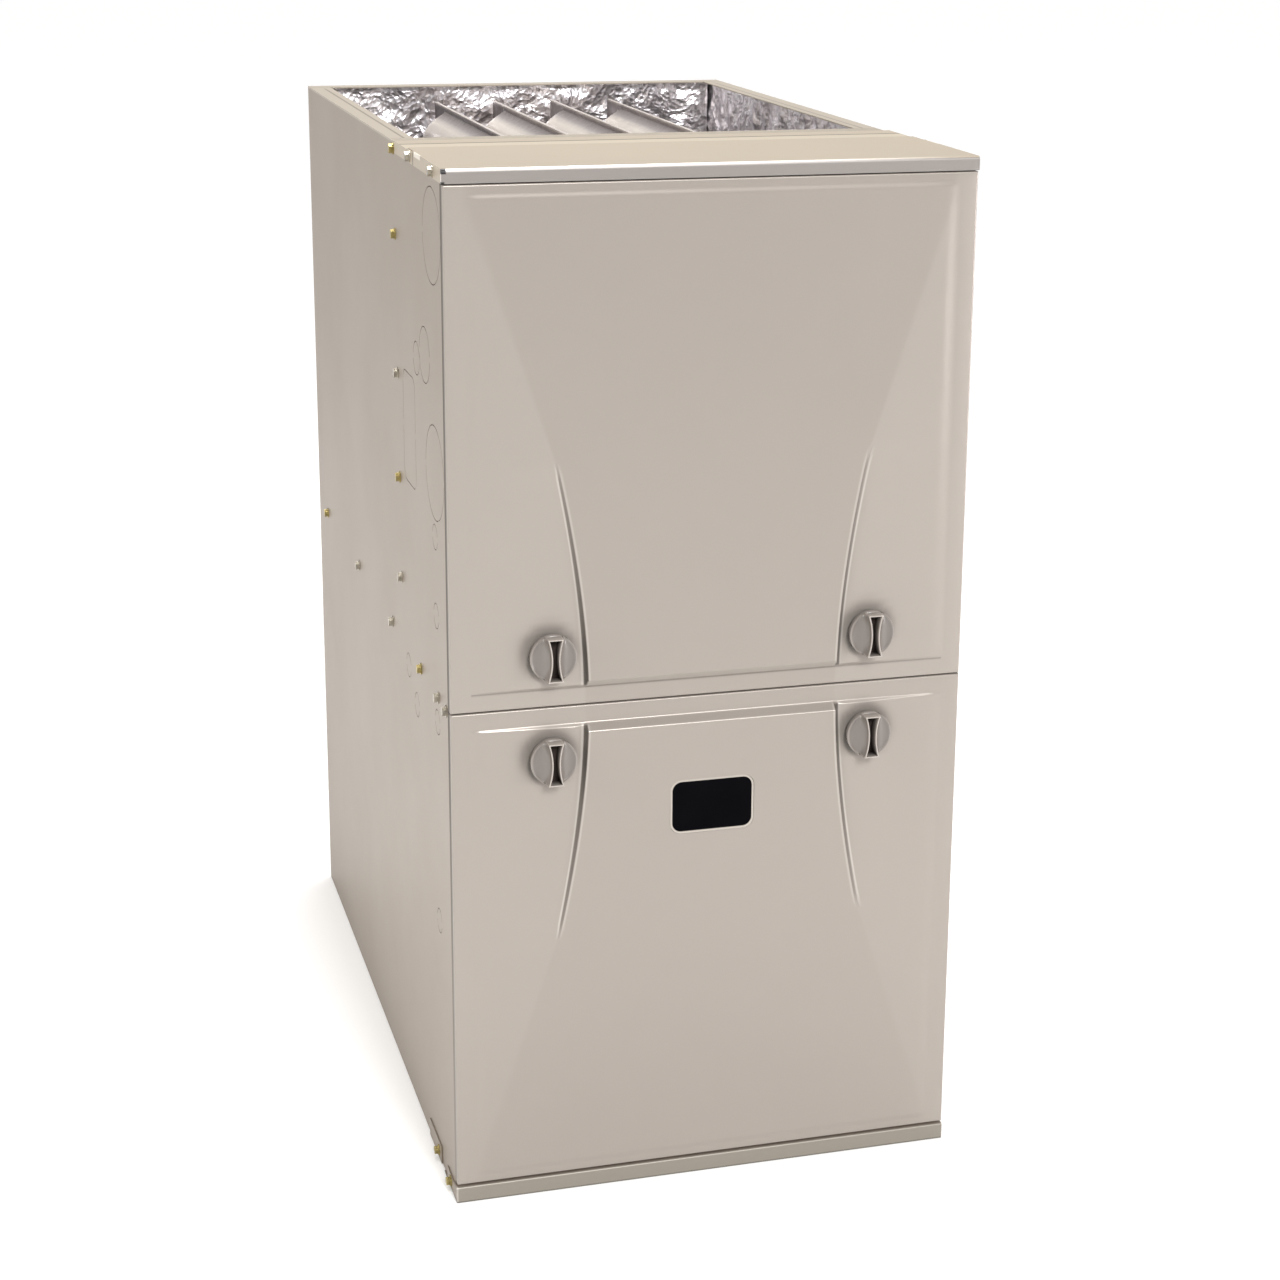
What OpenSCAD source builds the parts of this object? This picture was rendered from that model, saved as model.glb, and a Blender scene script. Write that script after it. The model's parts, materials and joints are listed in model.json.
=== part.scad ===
// Upflow condensing forced air gas furnace, built up from its separate pieces.
// Built in cabinet coordinates: X across from the centre, Y back from the door borders,
// Z up from the floor. place() then puts the origin at the centre of the base.

/* [Cabinet] */
// Width across the two side sheets
cab_w = 444.5; // [360:0.5:620]
// Depth from the door borders to the back sheet
cab_d = 749.3; // [620:0.1:900]
// Height over the top closure
cab_h = 889; // [740:1:1070]
// Thickness of the casing sheet
sheet = 1.2; // [0.8:0.1:1.6]
// Width of the flanges round the supply opening
top_flange = 20.6; // [15:0.1:30]
// Width of the flanges turned in at the foot of the casing
foot_flange = 19; // [12:1:25]

/* [Front] */
// Height of the seam between the two doors
seam_z = 444.5; // [370:0.5:540]
// Depth of each door pan
door_depth = 12; // [10:0.5:18]
// Thickness of the door sheet
door_sheet = 1; // [0.8:0.1:1.4]
// Height of the rounded lip of the top closure
lip_h = 11.5; // [9:0.5:16]
// Height of the base rail
rail_h = 14.5; // [12:0.5:22]
// Gap between a door and what is above or below it
door_gap = 1; // [0.6:0.1:2]
// Gap under the lower door
foot_gap = 3; // [2:0.5:5]
// Width of the flat border round each door's raised field
border_w = 16; // [12:1:22]
// How far the centre panel stands proud at the knob end
panel_proud = 6.5; // [4:0.5:8]
// How far the pocket beside a knob stands proud where it meets the centre panel
pocket_proud = 3.2; // [2:0.1:3.8]

/* [Knobs] */
// Diameter of a door knob
knob_d = 39.6; // [34:0.2:44]
// How far the grip bar stands in front of the door borders
knob_reach = 18.5; // [16:0.5:24]
// Distance from a cabinet side to a knob's axis
knob_in = 84; // [70:1:90]
// Distance from the seam to a knob's axis
knob_up = 45; // [42:1:60]
// Diameter of a knob's shaft
knob_shaft_d = 9; // [8:0.5:11]

/* [Sight glass] */
// Width of the sight glass
glass_w = 70; // [50:1:90]
// Height of the sight glass
glass_h = 44.5; // [30:0.5:60]
// Corner radius of the sight glass
glass_r = 8; // [4:0.5:12]
// Distance from the seam to the middle of the sight glass
glass_down = 97; // [80:1:120]

/* [Heating] */
// Distance from the door borders to the cell panel
cell_y = 243; // [230:1:260]
// Radius of a heat-exchanger pass
pass_r = 22; // [18:0.5:24]
// Distance between neighbouring cells
cell_pitch = 62; // [54:1:66]
// Distance between the passes of a cell
pass_pitch = 66; // [56:1:70]
// Thickness of the foil-faced insulation
foil_t = 12; // [10:1:16]
// Radius of a burner tube
burner_r = 14; // [11:0.5:16]
// Radius of the gas manifold
manifold_r = 10.5; // [9:0.5:12]
// Radius of the gas valve's threaded inlet
gas_thread_r = 9.5; // [8:0.1:10.5]
// Radius of the vent elbow's bore
vent_r = 30.2; // [25:0.1:31]

/* [Air] */
// Radius of the blower wheel
wheel_r = 122; // [105:1:124]
// Width of the blower wheel
wheel_w = 190; // [160:1:200]
// Radius of the blower shaft
shaft_r = 6.35; // [5:0.05:8]
// Radius of the blower motor
motor_r = 68; // [60:1:70]
// Radius of the inducer wheel
inducer_r = 48; // [40:1:50]

/* [Hidden] */
$fn = 48;

eps = 0.01;                                 // lets cutters run past the faces they cut
seat = 0.3;                                 // clearance between pieces that lie close
running = 0.05;                             // radial clearance of a shaft in its bearing
half_w = cab_w / 2;                         // outer face of a side sheet
in_x = half_w - sheet;                      // inner face of a side sheet
skirt_x = half_w + sheet;                   // outer face of the skirts and ears
case_y = door_depth + seat;                 // front of the casing's turned-in flanges
rail_y = case_y + sheet;                    // front of the latch rail
rail_back = rail_y + sheet;                 // back of the latch rail
back_in = cab_d - sheet;                    // inner face of the back sheet
case_z = sheet;                             // the casing stands on the closure sheet
case_top = cab_h - 2 * sheet;               // top of the casing, under the two top sheets
front_flange = 22;                          // width of the casing's front flanges
front_y = -(cab_d - knob_reach) / 2;        // centres the whole object on its base
cross_d = 213;                              // back edge of the cross plate on the casing
corner_notch = 2;                           // relief notch in the top flanges behind that edge

shelf_z = seam_z;                           // underside of the blower shelf
shelf_top = shelf_z + sheet;                // its upper face
pass_top = cab_h - 47;                      // axis of the highest pass of a cell
passes = 4;                                 // level passes of a cell, one over another
pass_low = pass_top - (passes - 1) * pass_pitch;// axis of the lowest pass
cell_x = [for (i = [0 : 3]) (i - 1.5) * cell_pitch];
cell_back = cab_d - 95;                     // where the passes turn round
panel_back = cell_y + sheet;                // face that the cells seat on

module place() {
    translate([0, front_y, 0]) children();
}

// A box between its low and high corners
module block(low, high) {
    translate(low) cube(high - low);
}

// Round bars along each axis, from their start to their end
module bar_x(x0, x1, y, z, r) {
    translate([x0, y, z]) rotate([0, 90, 0]) cylinder(h = x1 - x0, r = r);
}

module bar_y(x, y0, y1, z, r) {
    translate([x, y0, z]) rotate([-90, 0, 0]) cylinder(h = y1 - y0, r = r);
}

module bar_z(x, y, z0, z1, r) {
    translate([x, y, z0]) cylinder(h = z1 - z0, r = r);
}

module both_sides() {
    children();
    mirror([1, 0, 0]) children();
}

// A flat rectangle with round corners, centred
module round_rect(w, h, r) {
    square([w - 2 * r, h], center = true);
    square([w, h - 2 * r], center = true);
    for (sx = [-1, 1], sz = [-1, 1])
        translate([sx * (w / 2 - r), sz * (h / 2 - r)]) circle(r = r);
}

// Stands an XY drawing up so that its Y runs up and its thickness runs back from y0
module upright(y0, y1) {
    translate([0, y1, 0]) rotate([90, 0, 0]) linear_extrude(height = y1 - y0) children();
}

// ---------- casing ----------

knock_slit = 0.7;                           // width of the sheared line round a knockout
knock_tab = 5;                              // width of the tabs that hold a knockout
// Round knockouts of a side sheet: distance back, height and radius
knockouts = [
    [53.5, cab_h - 59, 39.5],
    [93, cab_h - 163, 23.8],
    [131.5, cab_h - 173, 14.5],
    [55, seam_z + 190.5, 40],
    [59, seam_z + 135.5, 11.1],
    [59, seam_z + 67.5, 11.1],
    [198, seam_z - 19, 11.1],
    [159, seam_z - 43.5, 11.1],
    [61, seam_z - 26.5, 11.1],
    [67.5, seam_z - 209.5, 11.1]
];
trap_knock_y = 171;                         // middle of the condensate trap's knockout
trap_knock_z = seam_z + 202;                // its height
trap_knock_w = 58;                          // its width and length
trap_knock_h = 98;
trap_knock_r = 12;

module knockout_slit(r) {
    difference() {
        circle(r = r);
        circle(r = r - knock_slit);
        square([2 * r + 1, knock_tab], center = true);
    }
}

module trap_slit() {
    difference() {
        round_rect(trap_knock_w, trap_knock_h, trap_knock_r);
        round_rect(trap_knock_w - 2 * knock_slit, trap_knock_h - 2 * knock_slit,
            trap_knock_r - knock_slit);
        square([trap_knock_w + 1, knock_tab], center = true);
    }
}

module side_slits() {
    for (k = knockouts)
        translate([-half_w - eps, k[0], k[1]]) rotate([90, 0, 90])
            linear_extrude(height = sheet + 2 * eps) knockout_slit(k[2]);
    translate([-half_w - eps, trap_knock_y, trap_knock_z]) rotate([90, 0, 90])
        linear_extrude(height = sheet + 2 * eps) trap_slit();
}

module casing() color([0.71, 0.67, 0.62]) place() {
    both_sides() difference() {
        union() {
            block([-half_w, case_y, case_z], [-in_x, cab_d, case_top]);
            block([-in_x - eps, case_y, rail_h + 1], [-half_w + front_flange, rail_y, case_top - sheet]);
            block([-in_x - eps, panel_back + seat, case_top - sheet],
                [-half_w + top_flange, cab_d, case_top]);
            block([-in_x - eps, rail_y, case_z], [-half_w + foot_flange, cab_d, case_z + sheet]);
        }
        side_slits();
        block([-half_w - 1, cross_d, case_top - sheet - 1],
            [-half_w + top_flange + 1, cross_d + corner_notch, case_top + 1]);
    }
    block([-in_x - eps, back_in, case_z], [in_x + eps, cab_d, case_top]);
    block([-in_x - eps, cab_d - top_flange, case_top - sheet], [in_x + eps, cab_d, case_top]);
    block([-in_x - eps, cab_d - foot_flange, case_z], [in_x + eps, cab_d, case_z + sheet]);
}

// ---------- top sheets ----------

closure_d = 150;                            // front to back of the top closure
closure_skirt_d = 124;                      // its skirts stop short of the cross plate's
lip_r = 3;                                  // bend radius of the lip

module top_closure() color([0.82, 0.78, 0.71]) place() {
    under = cab_h - sheet;
    difference() {
        union() {
            block([-skirt_x, lip_r, cab_h - lip_r - eps], [skirt_x, closure_skirt_d, cab_h]);
            block([-half_w, closure_skirt_d - eps, under], [half_w, closure_d, cab_h]);
            block([-skirt_x, 0, cab_h - lip_h], [skirt_x, closure_skirt_d, cab_h - lip_r]);
            bar_x(-skirt_x, skirt_x, lip_r, cab_h - lip_r, lip_r);
        }
        // hollow under the sheet, in front of and over the casing
        block([-half_w, lip_r, cab_h - lip_h - 1], [half_w, closure_d + 1, under]);
        block([-skirt_x + sheet, sheet, cab_h - lip_h - 1],
            [skirt_x - sheet, closure_skirt_d, cab_h - lip_r]);
    }
    block([-half_w, sheet - eps, cab_h - lip_h], [half_w, case_y - seat, cab_h - lip_h + sheet]);
}

module cross_plate() color([0.82, 0.78, 0.71]) place() {
    y0 = closure_skirt_d + seat;
    top = cab_h - sheet;
    block([-skirt_x, y0, case_top], [skirt_x, cross_d, top]);
    both_sides() block([-skirt_x, y0, cab_h - lip_h], [-half_w, cross_d, case_top + eps]);
}

// ---------- base ----------

rail_d = 58;                                // front to back of the rail's foot
ear_d = 45;                                 // length of the ears on the casing sides
tab_y = [72, 128];                          // the closure's side tabs, front and back
tab_h = 16;

module base_rail() color([0.69, 0.65, 0.6]) place() {
    r = 2;
    block([-skirt_x, 1, 0], [skirt_x, 1 + sheet, rail_h - r]);
    difference() {
        bar_x(-skirt_x, skirt_x, 1 + r, rail_h - r, r);
        block([-skirt_x - 1, 1 + sheet, rail_h - 2 * r - 1], [skirt_x + 1, 1 + 2 * r + 1, rail_h - r]);
    }
    block([-skirt_x, 1 + r, rail_h - sheet], [skirt_x, case_y - seat, rail_h]);
    block([-skirt_x, 1 + sheet - eps, 0], [skirt_x, rail_d, sheet]);
    both_sides() block([-skirt_x, 1 + sheet - eps, 0], [-half_w, ear_d, rail_h - r]);
}

module bottom_closure() color([0.69, 0.65, 0.6]) place() {
    block([-half_w, rail_d + seat, 0], [half_w, cab_d, sheet]);
    both_sides() {
        block([-skirt_x, tab_y[0], 0], [-half_w, tab_y[1], tab_h]);
        block([-half_w - eps, tab_y[0], 0], [-half_w + 1, tab_y[1], sheet]);
    }
}

// ---------- inner sheets ----------

outlet_half = 112;                          // half the width of the blower outlet, inside
blower_y = cab_d - 249;                     // axis of the blower wheel
blower_z = 200;
outlet_y = [blower_y + 18, blower_y + 152]; // the outlet's inner walls, front and back
drain_x = -in_x + 22;                       // where the drain tube goes down
drain_y = 175;
drain_r = 6;                                // radius of the drain tube

module blower_shelf() color([0.74, 0.75, 0.75]) place() {
    difference() {
        union() {
            block([-in_x, rail_back, shelf_z], [in_x, back_in, shelf_top]);
            both_sides() block([-in_x, rail_back, shelf_z - 18], [-in_x + sheet, back_in, shelf_top]);
        }
        block([-outlet_half, outlet_y[0], shelf_z - 1], [outlet_half, outlet_y[1], shelf_top + 1]);
        bar_z(drain_x, drain_y, shelf_z - 1, shelf_top + 1, drain_r + 2);
    }
}

knob_x = half_w - knob_in;                  // distance from the middle to a knob's axis
latch_h = 20;                               // half height of the rail between the doors
ear_w = 52;                                 // width of a latch ear
ear_reach = 24;                             // how far an ear runs past the knob's axis
slot_w = knob_shaft_d + 4;                  // keyhole slot: width and length
slot_l = 33;

module latch_rail() color([0.74, 0.75, 0.75]) place() {
    difference() {
        union() {
            block([-half_w + 3, rail_y, seam_z - latch_h], [half_w - 3, rail_back, seam_z + latch_h]);
            for (sx = [-1, 1])
                block([sx * knob_x - ear_w / 2, rail_y, seam_z - knob_up - ear_reach],
                    [sx * knob_x + ear_w / 2, rail_back, seam_z + knob_up + ear_reach]);
        }
        for (sx = [-1, 1], sz = [-1, 1])
            translate([sx * knob_x, 0, seam_z + sz * knob_up])
                upright(rail_y - 1, rail_back + 1) round_rect(slot_w, slot_l, slot_w / 2 - eps);
    }
}

inlet_r = 17;                               // holes in the cell panel for the flames

module cell_panel() color([0.78, 0.79, 0.79]) place() {
    top = case_top;
    difference() {
        union() {
            block([-in_x, cell_y, shelf_top], [in_x, panel_back, top]);
            block([-in_x, 165, top - sheet], [in_x, panel_back, top]);
            both_sides() block([-in_x, cell_y - 30, shelf_top], [-in_x + sheet, panel_back, top]);
        }
        for (x = cell_x) {
            bar_y(x, cell_y - 1, panel_back + 1, pass_top, inlet_r);
            bar_y(x, cell_y - 1, panel_back + 1, pass_low, inlet_r);
        }
    }
}

// ---------- insulation ----------

foil_low = shelf_top + 20;                  // foot of the insulation
foil_top = case_top - sheet - 0.5;          // top of the insulation

module insulation_side() {
    block([-in_x, panel_back + seat, foil_low], [-in_x + foil_t, back_in, foil_top]);
}

module insulation_left() color([0.75, 0.75, 0.76]) place() insulation_side();

module insulation_right() color([0.75, 0.75, 0.76]) place() mirror([1, 0, 0]) insulation_side();

module insulation_back() color([0.75, 0.75, 0.76]) place()
    block([-in_x + foil_t + seat, back_in - foil_t, foil_low],
        [in_x - foil_t - seat, back_in, foil_top]);

// ---------- primary heat exchanger ----------

bend_r = pass_pitch / 2;                    // radius of the turns between passes
front_turn = panel_back + bend_r + pass_r + 12; // where the front turns begin
cell_wall = 1.2;                            // wall of a pass
seam_t = 1.6;                               // crimped seam of a cell's two halves
seam_out = 7;                               // how far the seam stands out past the passes

// Half a ring in the YZ plane, opening towards +Y when dir is -1 and towards -Y when it is 1
module turn(x, y, z, dir, r) {
    translate([x, y, z]) rotate([0, 90, 0]) rotate([0, 0, dir > 0 ? 0 : 180])
        rotate_extrude(angle = 180) translate([bend_r, 0]) circle(r = r);
}

// The four level passes of a cell and the turns between them
module passes_of(x, r, open) {
    for (i = [0 : passes - 1]) {
        z = pass_top - i * pass_pitch;
        y0 = i == 0 || i == passes - 1 ? panel_back - open : front_turn;
        bar_y(x, y0, cell_back, z, r);
    }
    turn(x, cell_back, pass_top - bend_r, 1, r);
    turn(x, cell_back, pass_low + bend_r, 1, r);
    turn(x, front_turn, pass_top - 1.5 * pass_pitch, -1, r);
}

// One cell: hollow passes, with the flat seam between its pressed halves
module heat_cell(x) difference() {
    union() {
        passes_of(x, pass_r, 0);
        block([x - seam_t / 2, panel_back, pass_low - pass_r - seam_out],
            [x + seam_t / 2, cell_back + bend_r + pass_r + seam_out, pass_top + pass_r + seam_out]);
    }
    passes_of(x, pass_r - cell_wall, 1);
}

module heat_cell_1() color([0.6, 0.61, 0.62]) place() heat_cell(cell_x[0]);
module heat_cell_2() color([0.6, 0.61, 0.62]) place() heat_cell(cell_x[1]);
module heat_cell_3() color([0.6, 0.61, 0.62]) place() heat_cell(cell_x[2]);
module heat_cell_4() color([0.6, 0.61, 0.62]) place() heat_cell(cell_x[3]);

// ---------- condensing heat exchanger ----------

coil_low = shelf_top + 34;                  // foot of the condensing coil
coil_high = pass_low - pass_r - seam_out - 12;// its top, under the cells
coil_x = in_x - foil_t - 8;                 // its half width, between the insulation
coil_back = cab_d - 60;                     // its back face
coil_head = 18;                             // depth of the header at each end
coil_tubes = 7;                             // tubes in each of its two rows
coil_fins = 15;                             // fins across its tubes

module condensing_coil() color([0.7, 0.72, 0.74]) place() {
    block([-coil_x, panel_back, coil_low], [coil_x, panel_back + coil_head, coil_high]);
    block([-coil_x, coil_back - coil_head, coil_low], [coil_x, coil_back, coil_high]);
    fin_run = coil_back - coil_head - panel_back - coil_head;
    for (i = [1 : coil_fins]) {
        y = panel_back + coil_head + i * fin_run / (coil_fins + 1);
        block([-coil_x, y - 0.6, coil_low + 3], [coil_x, y + 0.6, coil_high - 3]);
    }
    rows = [coil_low + (coil_high - coil_low) * 0.3, coil_low + (coil_high - coil_low) * 0.7];
    for (z = rows, i = [1 : coil_tubes])
        bar_y(-coil_x + i * 2 * coil_x / (coil_tubes + 1), panel_back + coil_head - 1,
            coil_back - coil_head + 1, z, 7);
}

box_back = cell_y;                          // boxes on the front of the cell panel seat here
couple_x = cell_x[3] + pass_r + 12;         // half width of the coupling and burner boxes

// An open-backed pan on the front of the cell panel
module pan(x, y0, z0, z1) {
    difference() {
        block([-x, y0, z0], [x, box_back, z1]);
        block([-x + sheet, y0 + sheet, z0 + sheet], [x - sheet, box_back + 1, z1 - sheet]);
    }
}

couple_z = [pass_low - pass_r - 12, pass_low + pass_r + 14];// foot and top of the coupling box
collect_y = cell_y - 52;                    // front of the collector box
collect_x = 100;                            // half width of the collector box
collect_top = couple_z[0] - 3;              // top of the collector box

module coupling_box() color([0.62, 0.63, 0.64]) place()
    pan(couple_x, cell_y - 28, couple_z[0], couple_z[1]);

inducer_z = shelf_top + 86;                 // axis of the inducer
module collector_box() color([0.2, 0.2, 0.21]) place() {
    difference() {
        pan(collect_x, collect_y, coil_low, collect_top);
        bar_y(0, collect_y - 1, collect_y + sheet + 1, inducer_z, 22);
        bar_z(-collect_x + 16, cell_y - 20, coil_low - 1, coil_low + sheet + 1, 5);
    }
}

// ---------- burners and gas ----------

burn_y = 131;                               // front of the burner box
burn_z = [pass_top - 34, pass_top + 34];    // foot and top of the burner box
spud_r = 6;                                 // radius of an orifice's body
igniter_z = pass_top - 5;                   // height of the igniter and the flame sensor

module burner_box() color([0.72, 0.73, 0.73]) place() {
    difference() {
        pan(couple_x, burn_y, burn_z[0], burn_z[1]);
        for (x = cell_x) bar_y(x, burn_y - 1, burn_y + sheet + 1, pass_top, spud_r + 1);
        bar_x(-couple_x - 1, -couple_x + sheet + 1, cell_y - 26, igniter_z, 6);
        bar_x(couple_x - sheet - 1, couple_x + 1, cell_y - 26, igniter_z, 4);
    }
}

module burners() color([0.66, 0.67, 0.68]) place() {
    y0 = burn_y + sheet + 10;
    y1 = cell_y - 8;
    for (x = cell_x) {
        difference() {
            union() {
                bar_y(x, y0, y1, pass_top, burner_r);
                bar_y(x, y0, y0 + 6, pass_top, burner_r + 4);
                block([x - 8, y0 + 20, burn_z[0] + sheet], [x + 8, y0 + 24, pass_top - burner_r + 2]);
            }
            bar_y(x, y0 - 1, y1 - 8, pass_top, burner_r - 1.5);
            for (a = [0 : 45 : 315])
                bar_y(x + 8 * cos(a), y1 - 9, y1 + 1, pass_top + 8 * sin(a), 2.2);
        }
    }
}

manifold_y = 112;                           // axis of the manifold and of the gas inlet
manifold_x = [-112, 118];                   // ends of the manifold
valve_w = 62;                               // width of the gas valve's body
valve_x = manifold_x[0] - valve_w;          // left face of the body
valve_h = 64;                               // height of the gas valve

module manifold() color([0.36, 0.37, 0.38]) place() {
    difference() {
        union() {
            bar_x(manifold_x[0], manifold_x[1], manifold_y, pass_top, manifold_r);
            for (x = cell_x) bar_y(x, manifold_y, burn_y - 4, pass_top, 8);
            for (x = [-62, 0, 62])
                block([x - 9, manifold_y, pass_top - 5], [x + 9, burn_y, pass_top - 1]);
        }
        bar_x(manifold_x[0] - 1, manifold_x[1] - 4, manifold_y, pass_top, manifold_r - 3);
        for (x = cell_x) bar_y(x, manifold_y, burn_y, pass_top, spud_r - 1.5);
    }
}

module orifices() color([0.8, 0.66, 0.33]) place() {
    for (x = cell_x) difference() {
        union() {
            bar_y(x, burn_y - 4, burn_y + 9, pass_top, spud_r - 1);
            bar_y(x, burn_y - 4, burn_y - 1, pass_top, spud_r + 1.5);
        }
        bar_y(x, burn_y - 5, burn_y + 10, pass_top, 1.2);
    }
}

gas_depth = 16;                             // length of the inlet's thread
switch_z = pass_top + 12;                   // axis of the gas switch

module gas_valve() color([0.62, 0.63, 0.65]) place() {
    difference() {
        union() {
            block([valve_x, 84, pass_top - valve_h / 2],
                [manifold_x[0], burn_y - 1, pass_top + valve_h / 2 - 6]);
            bar_x(valve_x - 8, valve_x + 2, manifold_y, pass_top, 16);
            bar_z(valve_x + 20, 112, pass_top + 20, pass_top + valve_h / 2 + 4, 13);
            bar_y(valve_x + 42, 76, 90, pass_top - 14, 11);
        }
        bar_x(valve_x - 9, valve_x - 8 + gas_depth, manifold_y, pass_top, gas_thread_r);
        bar_y(valve_x + 20, 83, 92, switch_z, 3 + running);
        bar_z(valve_x + 48, 96, pass_top + 20, pass_top + valve_h, 4);
    }
}

// Turns on its stem in the front of the valve
module gas_switch() color([0.15, 0.15, 0.16]) place() {
    bar_y(valve_x + 20, 76, 83.7, switch_z, 9);
    bar_y(valve_x + 20, 83.6, 91, switch_z, 3);
    block([valve_x + 18.6, 70, switch_z - 8], [valve_x + 21.4, 76.5, switch_z + 8]);
}

module igniter() color([0.9, 0.88, 0.82]) place() {
    block([-couple_x - 18, cell_y - 36, igniter_z - 8], [-couple_x, cell_y - 16, igniter_z + 8]);
    bar_x(-couple_x - 1, -couple_x + 6, cell_y - 26, igniter_z, 5);
    block([-couple_x + 5, cell_y - 27.5, igniter_z - 3], [-couple_x + 19, cell_y - 24.5, igniter_z + 3]);
}

module flame_sensor() color([0.88, 0.86, 0.8]) place() {
    bar_x(couple_x - 1, couple_x + 16, cell_y - 26, igniter_z, 3.2);
    block([couple_x, cell_y - 34, igniter_z - 6], [couple_x + 2, cell_y - 18, igniter_z + 6]);
    bar_x(couple_x - 18, couple_x, cell_y - 26, igniter_z, 1.4);
}

rollout_y = 165;                            // axis of the roll-out switch, distance back
rollout_z = pass_top + 20;                  // and height

module rollout_switch() color([0.2, 0.2, 0.21]) place() difference() {
    union() {
        block([couple_x, rollout_y - 12, rollout_z - 8], [couple_x + 1.5, rollout_y + 12, rollout_z + 8]);
        bar_x(couple_x + 1, couple_x + 12, rollout_y, rollout_z, 7.5);
    }
    bar_x(couple_x + 5, couple_x + 13, rollout_y, rollout_z, 2 + running);
}

reset_travel = 2;                           // how far the reset button goes in
module reset_button() color([0.75, 0.12, 0.1]) place() {
    bar_x(couple_x + 5 + reset_travel + 0.5, couple_x + 16, rollout_y, rollout_z, 2);
    bar_x(couple_x + 14.3, couple_x + 16, rollout_y, rollout_z, 3);
}

module limit_switch() color([0.25, 0.25, 0.26]) place() {
    x = (couple_x + in_x) / 2;
    z = pass_low + 70;
    block([x - 18, box_back - 1.5, z - 9], [x + 18, box_back, z + 9]);
    bar_y(x, box_back - 14, box_back - 1, z, 9);
    for (sx = [-1, 1])
        block([x + sx * 4 - 0.4, box_back - 22, z - 3], [x + sx * 4 + 0.4, box_back - 13, z + 3]);
}

// ---------- inducer ----------

inducer_y = [collect_y - 44, collect_y];    // front and back of the inducer housing
scroll_r = inducer_r + 16;                  // radius of the inducer housing
motor_hole = 12;                            // radius of its hole for the motor's shaft
throat_x = -(scroll_r - 34);                // middle of the outlet that rises from the scroll
throat_top = inducer_z + scroll_r + 2;      // top of the housing's outlet
elbow_wall = 3;                             // wall of the vent elbow
elbow_gap = 1.5;                            // gap between the elbow and the collector box
// height of the elbow's bore, clear of the housing's flange and of the collector box
elbow_z = max(throat_top + 44, collect_top + elbow_gap + elbow_wall + vent_r);

module inducer_housing() color([0.16, 0.16, 0.17]) place() {
    difference() {
        union() {
            bar_y(0, inducer_y[0], inducer_y[1], inducer_z, scroll_r);
            block([-scroll_r, inducer_y[0], inducer_z], [-4, inducer_y[1], throat_top]);
            for (a = [45 : 90 : 315])
                bar_y((scroll_r + 5) * cos(a), inducer_y[1] - 5, inducer_y[1],
                    inducer_z + (scroll_r + 5) * sin(a), 8);
        }
        bar_y(0, inducer_y[0] + 3, inducer_y[1] - 3, inducer_z, scroll_r - 3);
        block([-scroll_r + 3, inducer_y[0] + 3, inducer_z], [-7, inducer_y[1] - 3, throat_top + 1]);
        bar_y(0, inducer_y[1] - 4, inducer_y[1] + 1, inducer_z, 20);
        bar_y(0, inducer_y[0] - 1, inducer_y[0] + 4, inducer_z, motor_hole);
    }
}

inducer_shaft = 4;                          // radius of the inducer's shaft
module inducer_wheel() color([0.3, 0.3, 0.31]) place() {
    y0 = inducer_y[0] + 9;
    y1 = inducer_y[1] - 9;
    bar_y(0, y0, y0 + 2, inducer_z, inducer_r);
    bar_y(0, inducer_y[0] - 14, y0 + 14, inducer_z, inducer_shaft);
    bar_y(0, y0, y0 + 12, inducer_z, 10);
    for (a = [0 : 30 : 330]) translate([0, 0, inducer_z]) rotate([0, a, 0])
        block([14, y0 + 1, -1], [inducer_r - 1, y1, 1]);
}

module inducer_motor() color([0.24, 0.24, 0.25]) place() {
    difference() {
        union() {
            bar_y(0, inducer_y[0] - 60, inducer_y[0] - 6, inducer_z, 38);
            bar_y(0, inducer_y[0] - 68, inducer_y[0] - 58, inducer_z, 14);
            for (a = [90 : 120 : 330])
                bar_y(30 * cos(a), inducer_y[0] - 8, inducer_y[0], inducer_z + 30 * sin(a), 4);
        }
        bar_y(0, inducer_y[0] - 20, inducer_y[0] + 1, inducer_z, inducer_shaft + running);
    }
}

elbow_len = 30;                             // depth of the socket for the vent pipe
pipe_stop = 3;                              // step that stops the pipe
module vent_elbow() color([0.14, 0.14, 0.15]) place() {
    y = (inducer_y[0] + inducer_y[1]) / 2;
    x_end = throat_x - vent_r - 14 - elbow_len;
    r = vent_r + elbow_wall;
    difference() {
        union() {
            block([-scroll_r, inducer_y[0], throat_top], [-4, inducer_y[1], throat_top + 4]);
            bar_z(throat_x, y, throat_top + 3, elbow_z, inducer_y[1] - y - 1);
            translate([throat_x, y, elbow_z]) sphere(r = r);
            bar_x(x_end, throat_x, y, elbow_z, r);
        }
        bar_z(throat_x, y, throat_top - 1, elbow_z, inducer_y[1] - y - 4);
        bar_x(x_end - 1, x_end + elbow_len, y, elbow_z, vent_r);
        bar_x(x_end, throat_x, y, elbow_z, vent_r - pipe_stop);
    }
}

// ---------- pressure switch and drain ----------

press_x = in_x - 52;                        // axis of the pressure switch, across,
press_z = shelf_top + 150;                  // its height
press_y = box_back - 32;                    // and the front of its body

module pressure_switch() color([0.2, 0.22, 0.26]) place() {
    block([press_x - 30, box_back - 2, press_z - 34], [press_x + 30, box_back, press_z + 34]);
    bar_y(press_x, press_y, box_back - 1, press_z, 29);
    bar_y(press_x, press_y - 8, press_y + 1, press_z, 10);
    bar_y(press_x, press_y - 16, press_y - 7, press_z, 3);
}

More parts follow.
